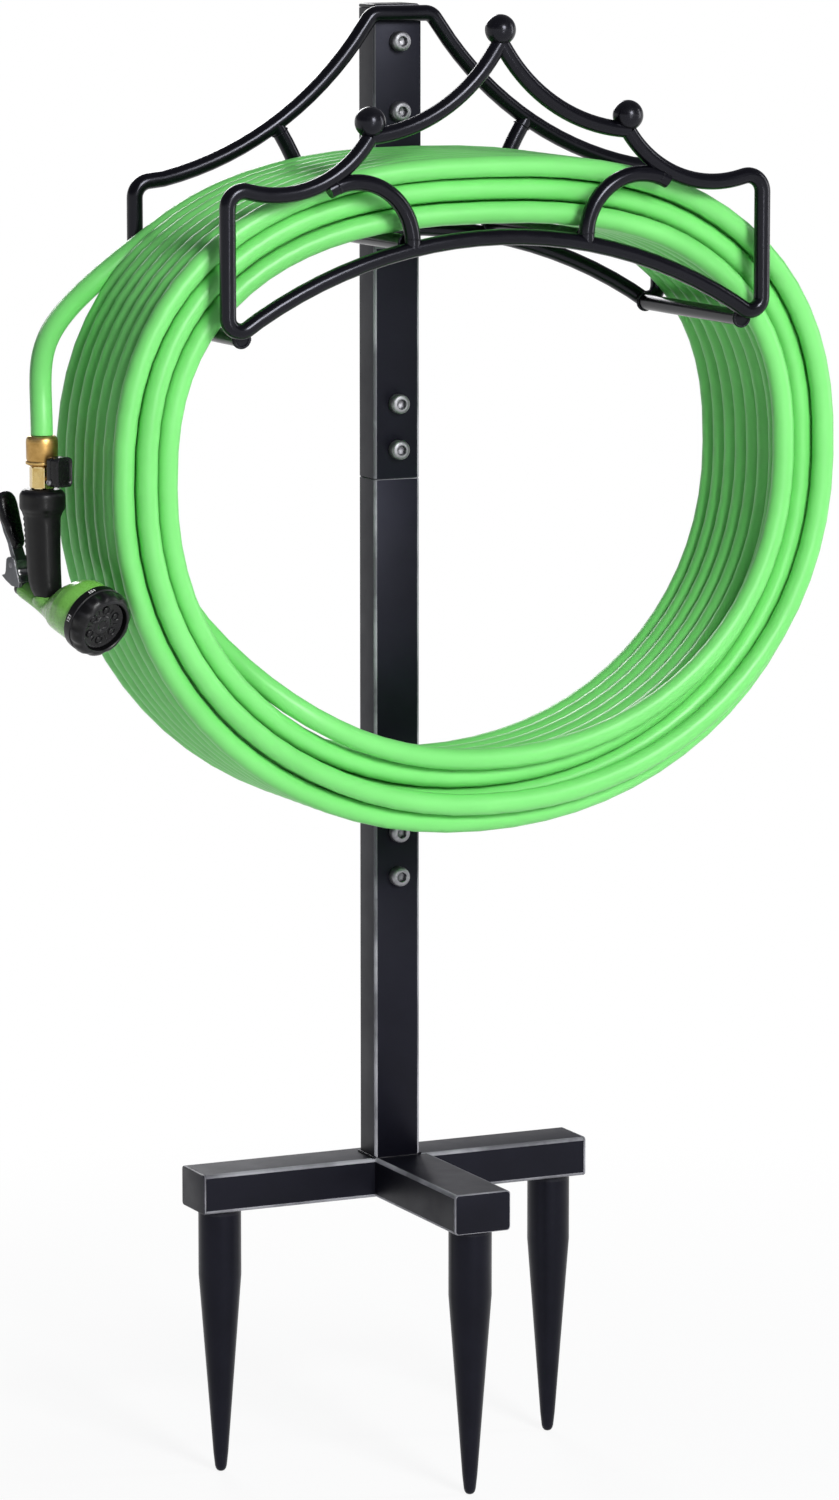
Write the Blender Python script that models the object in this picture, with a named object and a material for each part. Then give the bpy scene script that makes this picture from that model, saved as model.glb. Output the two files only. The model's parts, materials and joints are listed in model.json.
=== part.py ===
"""Freestanding garden hose stand with a coiled hose and its spray nozzle.

Units are metres, +Z is up, -Y is the front and +X is the right hand side seen from the front.
The origin lies on the ground plane through the stake tips, centred in X and in the stand's depth.
"""

import math

import bmesh
import bpy
from mathutils import Matrix, Vector

# Clearance that touching solids keep
GAP = 0.0003

# Post of rectangular tube in three sections
POST_WIDTH = 0.040
POST_DEPTH = 0.030
POST_WALL = 0.0015
POST_CORNER = 0.002
POST_TOP_Z = 1.184
UPPER_SEAM_Z = 0.8085
LOWER_SEAM_Z = 0.5445
CAP_THICKNESS = 0.003
CAP_PLUG_DEPTH = 0.012
SLEEVE_REACH = 0.080
SLEEVE_WALL = 0.0015

# Foot: crossbar, forward leg and the ground stakes
FOOT_TOP_Z = 0.2525
FOOT_HEIGHT = 0.0324
CROSSBAR_LENGTH = 0.344
CROSSBAR_DEPTH = 0.045
LEG_REACH = 0.151
LEG_WIDTH = 0.049
FOOT_WALL = 0.002
FOOT_CORNER = 0.0025
END_PLATE_THICKNESS = 0.002
STAKE_DIAMETER = 0.0348
STAKE_TIP_DIAMETER = 0.0097
STAKE_STRAIGHT = 0.055
STAKE_INSET = 0.0235

# Socket screws, their nuts and their heights on the post
SCREW_HEAD_DIAMETER = 0.0158
SCREW_HEAD_HEIGHT = 0.009
SCREW_SHANK_DIAMETER = 0.008
SCREW_SHANK_LENGTH = 0.012
SOCKET_ACROSS_FLATS = 0.0072
SOCKET_DEPTH = 0.005
NUT_ACROSS_FLATS = 0.013
NUT_THICKNESS = 0.0065
PLATE_SCREW_Z = (1.158, 1.1025)
UPPER_SLEEVE_SCREW_Z = (0.869, 0.832)
LOWER_SLEEVE_SCREW_Z = (0.521, 0.485)

# Plate that carries the basket on the post
PLATE_THICKNESS = 0.002
PLATE_BOTTOM_Z = 0.9935
PLATE_TOP_Z = 1.1865

# Round rod of both basket frames
ROD_DIAMETER = 0.0127
BALL_DIAMETER = 0.024
FRONT_PLANE_TO_POST = 0.203

# Front frame outline, half of it, seen from the front
FRONT_HALF_WIDTH = 0.229
FRONT_ARCH_RADIUS = 0.393
FRONT_ARCH_CENTRE_Z = 0.622
CORNER_BEND_RADIUS = 0.0105
TOP_BEND_RADIUS = 0.013
SHOULDER_RADIUS = 0.091
SHOULDER_LOW_X = 0.187
SHOULDER_LOW_Z = 1.0525
SHOULDER_OUTER_ANGLE = 14.0
SHOULDER_INNER_ANGLE = 57.0
SIDE_BALL_X = 0.1102
SIDE_BALL_Z = 1.106
CENTRE_BALL_Z = 1.174
SWOOP_RADIUS = 0.137
SWOOP_CENTRE_X = 0.1201
SWOOP_CENTRE_Z = 1.2315
SWOOP_OUTER_ANGLE = 4.0
SWOOP_INNER_ANGLE = 57.0
SWOOP_TIP_LENGTH = 0.012
FRONT_BRACE_RADIUS = 0.0475
FRONT_BRACE_CENTRE_X = 0.122
FRONT_BRACE_CENTRE_Z = 1.013
FRONT_BRACE_FOOT_ANGLE = 186.0
FRONT_BRACE_END_ANGLE = 61.0

# Back frame outline, half of it
BACK_HALF_WIDTH = 0.230
BACK_ARCH_RADIUS = 0.399
BACK_ARCH_CENTRE_Z = 0.611
BACK_TOP_RADIUS = 0.283
BACK_TOP_CENTRE_X = 0.2651
BACK_TOP_CENTRE_Z = 1.3317
BACK_TOP_OUTER_ANGLE = 12.0
BACK_TOP_INNER_ANGLE = 55.0
BACK_CREST_Z = 1.180
BACK_BRACE_TOP_X = 0.110
BACK_BRACE_MID_X = 0.092
BACK_BRACE_MID_Z = 1.0626
BACK_BRACE_FOOT_X = 0.077

# Rods that run from front to back under the hose
SADDLE_ROD_X = 0.076
SADDLE_ROD_Z = 1.0123
CORNER_ROD_X = 0.2149
CORNER_ROD_Z = 0.9441

# Hose coil: strand, oval winding form and the way it is wound
HOSE_DIAMETER = 0.017
LAYER_STEP = 0.018
TURN_PITCH = 0.0189
TURNS_PER_LAYER = 7
LOOP_POINTS = 24
COIL_CENTRE_Z = 0.830
COIL_HALF_WIDTH = 0.2675
COIL_HALF_TOP = 0.2022
COIL_HALF_BOTTOM = 0.2405
TOP_ROUNDNESS = 2.5
BOTTOM_ROUNDNESS = 2.1
COIL_FRONT_TO_POST = 0.1791
TAIL_BACK_TO_POST = 0.066
TAIL_START_ANGLE = 180.0
TAIL_DRIFT_ANGLE = 60.0
TAIL_EXTRA_OFFSET = 0.009
TAIL_EASE_ANGLE = 15.0
LAST_LAYER_EXTRA_STEPS = 5

# Hose tail coupling
COUPLING_DIAMETER = 0.0225
COUPLING_LENGTH = 0.026
SWIVEL_DIAMETER = 0.026
SWIVEL_LENGTH = 0.015

# Nozzle: place of the nut's top, heading of the barrel and its fall
NOZZLE_X = -0.351
NOZZLE_TO_POST = 0.127
NOZZLE_Z = 0.870
NOZZLE_HEADING = -71.6
BARREL_FALL = 22.0
NUT_DIAMETER = 0.0245
NUT_LENGTH = 0.0226
VALVE_ACROSS_FLATS = 0.0178
VALVE_LENGTH = 0.0177
STEM_DIAMETER = 0.006
STEM_SEAT = 0.004
STEM_REACH = 0.6
LEVER_STANDOFF = 0.0134
LEVER_DEPTH = 0.014
LEVER_WIDTH = 0.016
LEVER_HEIGHT = 0.023
GRIP_LENGTH = 0.084
GRIP_NOTCHES = 6
GRIP_NOTCH_PITCH = 0.0042
PIVOT_BACK = 0.0285
PIVOT_DROP = 0.1015
PIN_DIAMETER = 0.004
PIN_LENGTH = 0.0175
CHEEK_THICKNESS = 0.0025
TRIGGER_WIDTH = 0.011
BARREL_START_BACK = 0.0245
BARREL_START_DROP = 0.1195
PIPE_DIAMETER = 0.013
BELL_LENGTH = 0.080
BELL_DIAMETER = 0.050
BELL_RISE = 0.017
DIAL_DIAMETER = 0.054
DIAL_LENGTH = 0.0185
FACE_DIAMETER = 0.040
FACE_RECESS = 0.0035

# Places that follow from the sizes above
FRONT_REACH = FRONT_PLANE_TO_POST + BALL_DIAMETER / 2
BACK_REACH = CROSSBAR_DEPTH - POST_DEPTH / 2
POST_Y = (FRONT_REACH - BACK_REACH) / 2
POST_FRONT_Y = POST_Y - POST_DEPTH / 2
PLATE_FRONT_Y = POST_FRONT_Y - GAP - PLATE_THICKNESS
ROD_RADIUS = ROD_DIAMETER / 2
BALL_RADIUS = BALL_DIAMETER / 2
FRONT_PLANE_Y = POST_Y - FRONT_PLANE_TO_POST
BACK_PLANE_Y = PLATE_FRONT_Y - GAP - ROD_RADIUS
FOOT_MIDDLE_Z = FOOT_TOP_Z - FOOT_HEIGHT / 2
FOOT_BOTTOM_Z = FOOT_TOP_Z - FOOT_HEIGHT
CROSSBAR_Y = POST_FRONT_Y + CROSSBAR_DEPTH / 2
LEG_X = LEG_WIDTH / 2 - POST_WIDTH / 2
LEG_FRONT_Y = POST_FRONT_Y - LEG_REACH

FINISHES = {
    "black_steel": ((0.020, 0.020, 0.024), 0.28, 0.6),
    "zinc_screw": ((0.42, 0.42, 0.43), 0.35, 1.0),
    "hose_green": ((0.16, 0.68, 0.15), 0.42, 0.0),
    "brass": ((0.55, 0.36, 0.11), 0.28, 1.0),
    "black_plastic": ((0.015, 0.015, 0.016), 0.45, 0.0),
    "green_plastic": ((0.14, 0.45, 0.05), 0.38, 0.0),
    "grey_metal": ((0.20, 0.21, 0.21), 0.45, 0.8),
    "stem_brass": ((0.60, 0.42, 0.16), 0.30, 1.0),
}


def clear_scene():
    """Remove every object that the file starts with."""
    for item in list(bpy.data.objects):
        bpy.data.objects.remove(item, do_unlink=True)


def make_material(name, finish):
    """Return a new Principled material with the colour, roughness and metallic value of a finish."""
    colour, roughness, metallic = FINISHES[finish]
    material = bpy.data.materials.new(name)
    material.use_nodes = True
    shader = material.node_tree.nodes["Principled BSDF"]
    shader.inputs["Base Color"].default_value = (*colour, 1.0)
    shader.inputs["Roughness"].default_value = roughness
    shader.inputs["Metallic"].default_value = metallic
    material.diffuse_color = (*colour, 1.0)
    return material


def add_piece(name, mesh, finish, parent=None, matrix=None, smooth_angle=32.0):
    """Link a mesh as a named piece with a material of its own and smooth shading up to an angle."""
    mesh.name = name
    mesh.shade_smooth()
    mesh.set_sharp_from_angle(angle=math.radians(smooth_angle))
    piece = bpy.data.objects.new(name, mesh)
    bpy.context.scene.collection.objects.link(piece)
    mesh.materials.clear()
    mesh.materials.append(make_material(name + "_finish", finish))
    piece.parent = parent
    if matrix is not None:
        piece.matrix_local = matrix
    return piece


def add_frame(name, matrix, parent=None):
    """Add an empty that marks a frame or a joint axis."""
    marker = bpy.data.objects.new(name, None)
    bpy.context.scene.collection.objects.link(marker)
    marker.empty_display_size = 0.02
    marker.parent = parent
    marker.matrix_local = matrix
    return marker


def finish_mesh(builder, name):
    """Turn a bmesh into a mesh whose faces point outward."""
    bmesh.ops.recalc_face_normals(builder, faces=builder.faces)
    mesh = bpy.data.meshes.new(name)
    builder.to_mesh(mesh)
    builder.free()
    return mesh


def evaluated_mesh(item):
    """Return the mesh of an object with its modifiers applied, and remove the object."""
    bpy.context.view_layer.update()
    depsgraph = bpy.context.evaluated_depsgraph_get()
    mesh = bpy.data.meshes.new_from_object(item.evaluated_get(depsgraph))
    bpy.data.objects.remove(item, do_unlink=True)
    return mesh


def carve(mesh, cutters):
    """Subtract closed cutter meshes from a mesh."""
    body = bpy.data.objects.new("carved", mesh)
    bpy.context.scene.collection.objects.link(body)
    tools = []
    for cutter_mesh in cutters:
        tool = bpy.data.objects.new("cutter", cutter_mesh)
        bpy.context.scene.collection.objects.link(tool)
        tool.hide_render = True
        tool.display_type = "WIRE"
        modifier = body.modifiers.new("cut", "BOOLEAN")
        modifier.operation = "DIFFERENCE"
        modifier.solver = "EXACT"
        modifier.object = tool
        tools.append(tool)
    result = evaluated_mesh(body)
    for tool in tools:
        bpy.data.objects.remove(tool, do_unlink=True)
    return result


def rounded_rectangle(width, depth, radius, steps=3):
    """Return the corner points of a rectangle with rounded corners, counterclockwise."""
    points = []
    for corner in range(4):
        sign_x = 1 if corner in (0, 3) else -1
        sign_y = 1 if corner in (0, 1) else -1
        centre_x = sign_x * (width / 2 - radius)
        centre_y = sign_y * (depth / 2 - radius)
        for step in range(steps + 1):
            angle = math.radians(90 * corner + 90 * step / steps)
            points.append((centre_x + radius * math.cos(angle), centre_y + radius * math.sin(angle)))
    return points


def regular_outline(across_flats, sides, turn=0.0):
    """Return the corners of a regular polygon given by the distance across its flats."""
    radius = across_flats / 2 / math.cos(math.pi / sides)
    turns = [math.radians(turn) + 2 * math.pi * index / sides for index in range(sides)]
    return [(radius * math.cos(angle), radius * math.sin(angle)) for angle in turns]


def loft(rings, name="loft", closed=False):
    """Skin rings of equal point counts; end rings are capped, or joined when the loft is closed."""
    builder = bmesh.new()
    loops = [[builder.verts.new(point) for point in ring] for ring in rings]
    pairs = list(zip(loops, loops[1:]))
    if closed:
        pairs.append((loops[-1], loops[0]))
    for lower, upper in pairs:
        count = len(lower)
        for index in range(count):
            follow = (index + 1) % count
            builder.faces.new((lower[index], lower[follow], upper[follow], upper[index]))
    if not closed:
        builder.faces.new(list(reversed(loops[0])))
        builder.faces.new(loops[-1])
    return finish_mesh(builder, name)


def prism(outline, bottom, top, edge=0.0):
    """Extrude an outline along Z, with its end edges chamfered by scaling the end rings."""
    reach = max(max(abs(x), abs(y)) for x, y in outline)
    shrink = 1.0 - edge / reach
    levels = [(bottom, 1.0), (top, 1.0)]
    if edge > 0:
        levels = [(bottom, shrink), (bottom + edge, 1.0), (top - edge, 1.0), (top, shrink)]
    return loft([[(x * scale, y * scale, z) for x, y in outline] for z, scale in levels])


def hollow_prism(outer, inner, bottom, top):
    """Extrude an outline with a hole of the same point count along Z, open at both ends."""
    rings = [
        [(x, y, bottom) for x, y in outer],
        [(x, y, top) for x, y in outer],
        [(x, y, top) for x, y in inner],
        [(x, y, bottom) for x, y in inner],
    ]
    return loft(rings, closed=True)


def turned(profile, segments=24):
    """Revolve a profile of (radius, height) points about Z; a radius of zero becomes a pole."""
    builder = bmesh.new()
    rows = []
    for radius, height in profile:
        if radius == 0:
            rows.append([builder.verts.new((0, 0, height))])
            continue
        row = []
        for index in range(segments):
            angle = 2 * math.pi * index / segments
            row.append(builder.verts.new((radius * math.cos(angle), radius * math.sin(angle), height)))
        rows.append(row)
    for lower, upper in zip(rows, rows[1:]):
        for index in range(segments):
            follow = (index + 1) % segments
            corners = [lower[index % len(lower)], lower[follow % len(lower)]]
            corners += [upper[follow % len(upper)], upper[index % len(upper)]]
            unique = list(dict.fromkeys(corners))
            builder.faces.new(unique)
    return finish_mesh(builder, "turned")


def moved(mesh, matrix):
    """Transform a mesh in place and return it."""
    mesh.transform(matrix)
    return mesh


def axis_matrix(origin, axis, side=None):
    """Return a frame at a point whose Z runs along an axis and whose X lies near a side direction."""
    z_axis = Vector(axis).normalized()
    hint = Vector(side) if side is not None else Vector((1, 0, 0))
    if abs(hint.normalized().dot(z_axis)) > 0.99:
        hint = Vector((0, 0, 1))
    y_axis = z_axis.cross(hint).normalized()
    x_axis = y_axis.cross(z_axis)
    matrix = Matrix((x_axis, y_axis, z_axis)).transposed().to_4x4()
    matrix.translation = Vector(origin)
    return matrix


def rod_mesh(points, radius, cyclic=False, resolution=3):
    """Return a round rod with filled ends along a list of points."""
    curve = bpy.data.curves.new("rod", "CURVE")
    curve.dimensions = "3D"
    curve.bevel_depth = radius
    curve.bevel_resolution = resolution
    curve.render_resolution_u = 0
    curve.use_fill_caps = True
    spline = curve.splines.new("POLY")
    spline.points.add(len(points) - 1)
    for slot, point in zip(spline.points, points):
        slot.co = (*point, 1.0)
    spline.use_cyclic_u = cyclic
    holder = bpy.data.objects.new("rod", curve)
    bpy.context.scene.collection.objects.link(holder)
    return evaluated_mesh(holder)


def arc(centre_x, centre_z, radius, start, end, steps):
    """Return points of an arc in a front view, by angles in degrees from +X toward +Z."""
    points = []
    for step in range(steps + 1):
        angle = math.radians(start + (end - start) * step / steps)
        points.append((centre_x + radius * math.cos(angle), centre_z + radius * math.sin(angle)))
    return points


def fillet(before, corner, after, radius, steps=4):
    """Return the arc that rounds a corner between two straight runs."""
    corner = Vector(corner)
    to_before = (Vector(before) - corner).normalized()
    to_after = (Vector(after) - corner).normalized()
    half_angle = to_before.angle(to_after) / 2
    bisector = (to_before + to_after).normalized()
    centre = corner + bisector * radius / math.sin(half_angle)
    first = corner + to_before * radius / math.tan(half_angle) - centre
    last = corner + to_after * radius / math.tan(half_angle) - centre
    sweep = first.angle(last)
    points = []
    for step in range(steps + 1):
        share = step / steps
        blend = first * math.sin((1 - share) * sweep) + last * math.sin(share * sweep)
        points.append(tuple(centre + blend / math.sin(sweep)))
    return points


def mirrored(points):
    """Return points of a front view mirrored to the other side, in reverse order."""
    return [(-x, z) for x, z in reversed(points)]


def in_plane(points, depth):
    """Place front view points in a vertical plane."""
    return [(x, depth, z) for x, z in points]


def arch_half(half_width, radius, centre_z, steps=6):
    """Return the bottom arch of a frame from its outer end to the crown, with its corner point."""
    corner_z = centre_z + math.sqrt(radius ** 2 - half_width ** 2)
    first_x = half_width - 2.4 * CORNER_BEND_RADIUS
    start = math.degrees(math.acos(first_x / radius))
    return (half_width, corner_z), arc(0, centre_z, radius, start, 90, steps)


def front_frame_points():
    """Return the front view of the front frame's rod, from ball to ball round the bottom."""
    low_centre_z = SHOULDER_LOW_Z + SHOULDER_RADIUS
    shoulder = arc(SHOULDER_LOW_X, low_centre_z, SHOULDER_RADIUS,
                   270 - SHOULDER_INNER_ANGLE, 270 + SHOULDER_OUTER_ANGLE, 8)
    end_x, end_z = shoulder[-1]
    rise = math.tan(math.radians(SHOULDER_OUTER_ANGLE))
    top_corner = (FRONT_HALF_WIDTH, end_z + (FRONT_HALF_WIDTH - end_x) * rise)
    bottom_corner, arch = arch_half(FRONT_HALF_WIDTH, FRONT_ARCH_RADIUS, FRONT_ARCH_CENTRE_Z)
    half = list(shoulder)
    half += fillet(shoulder[-1], top_corner, bottom_corner, TOP_BEND_RADIUS)
    half += fillet(top_corner, bottom_corner, arch[0], CORNER_BEND_RADIUS, 6)
    half += arch
    return half + mirrored(half[:-1])


def back_top_points():
    """Return the back frame's top line from its outer end to its crest bend, right side."""
    return arc(BACK_TOP_CENTRE_X, BACK_TOP_CENTRE_Z, BACK_TOP_RADIUS,
               270 - BACK_TOP_OUTER_ANGLE, 270 - BACK_TOP_INNER_ANGLE, 9)


def back_frame_points():
    """Return the front view of the back frame's closed rod."""
    top_line = back_top_points()
    inner_x, inner_z = top_line[-1]
    slope = math.tan(math.radians(BACK_TOP_INNER_ANGLE))
    crest_corner = (inner_x - (BACK_CREST_Z - inner_z) / slope, BACK_CREST_Z)
    outer_x, outer_z = top_line[0]
    fall = math.tan(math.radians(BACK_TOP_OUTER_ANGLE / 2))
    top_corner = (BACK_HALF_WIDTH, outer_z - (BACK_HALF_WIDTH - outer_x) * fall)
    bottom_corner, arch = arch_half(BACK_HALF_WIDTH, BACK_ARCH_RADIUS, BACK_ARCH_CENTRE_Z)
    half = fillet((0, BACK_CREST_Z), crest_corner, top_line[-1], TOP_BEND_RADIUS * 0.8, 3)
    half += list(reversed(top_line[:-1]))
    half += fillet(top_line[0], top_corner, bottom_corner, TOP_BEND_RADIUS)
    half += fillet(top_corner, bottom_corner, arch[0], CORNER_BEND_RADIUS, 6)
    half += arch
    return half + mirrored(half[:-1])


def ball_mesh(radius, centre):
    """Return a ball; a larger one at the same place is parallel to it, so it can cut its seat."""
    builder = bmesh.new()
    bmesh.ops.create_uvsphere(builder, u_segments=16, v_segments=8, radius=radius)
    bmesh.ops.translate(builder, verts=builder.verts, vec=centre)
    return finish_mesh(builder, "ball")


def half_space(sign):
    """Return a box that covers the far side of the middle plane for a right or left swoop."""
    size = 0.2
    outline = rounded_rectangle(size, size, 0.01, 1)
    shift = Matrix.Translation((-sign * (size / 2 - GAP / 2), FRONT_PLANE_Y, 1.1))
    return moved(prism(outline, -size / 2, size / 2), shift)


def build_front_frame():
    """Build the front frame: rod, balls, swoops over the middle and the two curved braces."""
    frame_path = in_plane(front_frame_points(), FRONT_PLANE_Y)
    ball_places = {
        "left_ball": (-SIDE_BALL_X, FRONT_PLANE_Y, SIDE_BALL_Z),
        "right_ball": (SIDE_BALL_X, FRONT_PLANE_Y, SIDE_BALL_Z),
        "centre_ball": (0, FRONT_PLANE_Y, CENTRE_BALL_Z),
    }
    seats = [place for name, place in ball_places.items() if name != "centre_ball"]
    rod = rod_mesh(frame_path, ROD_RADIUS)
    rod = carve(rod, [ball_mesh(BALL_RADIUS + GAP, place) for place in seats])
    add_piece("front_frame_rod", rod, "black_steel")
    for name, place in ball_places.items():
        add_piece(name, ball_mesh(BALL_RADIUS, place), "black_steel")
    for side, sign in (("left", -1), ("right", 1)):
        path = arc(SWOOP_CENTRE_X, SWOOP_CENTRE_Z, SWOOP_RADIUS,
                   270 - SWOOP_OUTER_ANGLE, 270 - SWOOP_INNER_ANGLE, 8)
        lean = math.radians(SWOOP_INNER_ANGLE)
        tip_x, tip_z = path[-1]
        path.append((tip_x - SWOOP_TIP_LENGTH * math.cos(lean), tip_z + SWOOP_TIP_LENGTH * math.sin(lean)))
        points = [(sign * x, z) for x, z in path]
        swoop = rod_mesh(in_plane(points, FRONT_PLANE_Y), ROD_RADIUS)
        cutters = [ball_mesh(BALL_RADIUS + GAP, place) for place in ball_places.values()]
        cutters.append(rod_mesh(frame_path, ROD_RADIUS + GAP))
        cutters.append(half_space(sign))
        add_piece(side + "_swoop_rod", carve(swoop, cutters), "black_steel")
        path = arc(FRONT_BRACE_CENTRE_X, FRONT_BRACE_CENTRE_Z, FRONT_BRACE_RADIUS,
                   FRONT_BRACE_FOOT_ANGLE, FRONT_BRACE_END_ANGLE, 8)
        points = [(sign * x, z) for x, z in path]
        brace = rod_mesh(in_plane(points, FRONT_PLANE_Y), ROD_RADIUS)
        brace = carve(brace, [rod_mesh(frame_path, ROD_RADIUS + GAP)])
        add_piece(side + "_front_brace", brace, "black_steel")


def circle_through(first, middle, last, steps):
    """Return arc points through three points of a front view."""
    (ax, az), (bx, bz), (cx, cz) = first, middle, last
    det = 2 * (ax * (bz - cz) + bx * (cz - az) + cx * (az - bz))
    a_sq, b_sq, c_sq = ax * ax + az * az, bx * bx + bz * bz, cx * cx + cz * cz
    centre_x = (a_sq * (bz - cz) + b_sq * (cz - az) + c_sq * (az - bz)) / det
    centre_z = (a_sq * (cx - bx) + b_sq * (ax - cx) + c_sq * (bx - ax)) / det
    radius = math.hypot(ax - centre_x, az - centre_z)
    start = math.degrees(math.atan2(az - centre_z, ax - centre_x))
    end = math.degrees(math.atan2(cz - centre_z, cx - centre_x))
    sweep = (end - start + 180) % 360 - 180
    return arc(centre_x, centre_z, radius, start, start + sweep, steps)


def build_back_frame():
    """Build the back frame: closed rod and the two braces between its top line and arch."""
    frame_path = in_plane(back_frame_points(), BACK_PLANE_Y)
    add_piece("back_frame_rod", rod_mesh(frame_path, ROD_RADIUS, cyclic=True), "black_steel")
    reach = BACK_TOP_CENTRE_X - BACK_BRACE_TOP_X
    top_z = BACK_TOP_CENTRE_Z - math.sqrt(BACK_TOP_RADIUS ** 2 - reach ** 2)
    foot_z = BACK_ARCH_CENTRE_Z + math.sqrt(BACK_ARCH_RADIUS ** 2 - BACK_BRACE_FOOT_X ** 2)
    path = circle_through((BACK_BRACE_TOP_X, top_z), (BACK_BRACE_MID_X, BACK_BRACE_MID_Z),
                          (BACK_BRACE_FOOT_X, foot_z), 6)
    for side, sign in (("left", -1), ("right", 1)):
        points = [(sign * x, z) for x, z in path]
        brace = rod_mesh(in_plane(points, BACK_PLANE_Y), ROD_RADIUS)
        brace = carve(brace, [rod_mesh(frame_path, ROD_RADIUS + GAP, cyclic=True)])
        add_piece(side + "_back_brace", brace, "black_steel")


def build_depth_rods():
    """Build the straight rods that join both frames and carry the hose."""
    front_y = FRONT_PLANE_Y + ROD_RADIUS + GAP
    back_y = BACK_PLANE_Y - ROD_RADIUS - GAP
    places = {"saddle_rod": (SADDLE_ROD_X, SADDLE_ROD_Z), "corner_rod": (CORNER_ROD_X, CORNER_ROD_Z)}
    for label, (place_x, place_z) in places.items():
        for side, sign in (("left", -1), ("right", 1)):
            ends = [(sign * place_x, front_y, place_z), (sign * place_x, back_y, place_z)]
            add_piece(side + "_" + label, rod_mesh(ends, ROD_RADIUS), "black_steel")


def post_outlines(wall):
    """Return the outer and inner outline of the post tube."""
    outer = rounded_rectangle(POST_WIDTH, POST_DEPTH, POST_CORNER, 2)
    inner = rounded_rectangle(POST_WIDTH - 2 * wall, POST_DEPTH - 2 * wall, POST_CORNER / 2, 2)
    return outer, inner


def screw_hole(height):
    """Return a cutter for a screw through the front walls at a height."""
    radius = SCREW_SHANK_DIAMETER / 2 + GAP
    depth = POST_WALL + SLEEVE_WALL + 0.004
    cutter = turned([(0, -depth), (radius, -depth), (radius, depth), (0, depth)], 16)
    return moved(cutter, axis_matrix((0, POST_FRONT_Y, height), (0, -1, 0)))


def build_post():
    """Build the three post sections, the cap and the two inner sleeves."""
    outer, inner = post_outlines(POST_WALL)
    spans = {
        "lower_post_section": (FOOT_TOP_Z + GAP, LOWER_SEAM_Z - GAP / 2, LOWER_SLEEVE_SCREW_Z),
        "middle_post_section": (LOWER_SEAM_Z + GAP / 2, UPPER_SEAM_Z - GAP / 2, ()),
        "upper_post_section": (UPPER_SEAM_Z + GAP / 2, POST_TOP_Z, UPPER_SLEEVE_SCREW_Z + PLATE_SCREW_Z),
    }
    shift = Matrix.Translation((0, POST_Y, 0))
    for name, (bottom, top, holes) in spans.items():
        tube = moved(hollow_prism(outer, inner, bottom, top), shift)
        if holes:
            tube = carve(tube, [screw_hole(height) for height in holes])
        add_piece(name, tube, "black_steel")
    sleeve_width = POST_WIDTH - 2 * POST_WALL - 2 * GAP
    sleeve_depth = POST_DEPTH - 2 * POST_WALL - 2 * GAP
    sleeve_outer = rounded_rectangle(sleeve_width, sleeve_depth, POST_CORNER / 2, 1)
    sleeve_inner = rounded_rectangle(sleeve_width - 2 * SLEEVE_WALL, sleeve_depth - 2 * SLEEVE_WALL,
                                     POST_CORNER / 4, 1)
    seams = {"upper_sleeve": (UPPER_SEAM_Z, UPPER_SLEEVE_SCREW_Z),
             "lower_sleeve": (LOWER_SEAM_Z, LOWER_SLEEVE_SCREW_Z)}
    for name, (seam, holes) in seams.items():
        tube = hollow_prism(sleeve_outer, sleeve_inner, seam - SLEEVE_REACH, seam + SLEEVE_REACH)
        tube = carve(moved(tube, shift), [screw_hole(height) for height in holes])
        add_piece(name, tube, "black_steel")
    cap_top = POST_TOP_Z + GAP + CAP_THICKNESS
    cap_low = POST_TOP_Z + GAP
    cap_edge = CAP_THICKNESS / 2
    plug_width = POST_WIDTH - 2 * POST_WALL - 2 * GAP
    plug_depth = POST_DEPTH - 2 * POST_WALL - 2 * GAP
    lid = rounded_rectangle(POST_WIDTH, POST_DEPTH, POST_CORNER, 2)
    crown = rounded_rectangle(POST_WIDTH - cap_edge, POST_DEPTH - cap_edge, POST_CORNER, 2)
    plug = rounded_rectangle(plug_width, plug_depth, POST_CORNER / 2, 2)
    levels = [(plug, POST_TOP_Z - CAP_PLUG_DEPTH), (plug, cap_low), (lid, cap_low),
              (lid, cap_top - cap_edge), (crown, cap_top)]
    cap = loft([[(x, y, z) for x, y in outline] for outline, z in levels])
    add_piece("post_cap", moved(cap, shift), "black_plastic")


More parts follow.
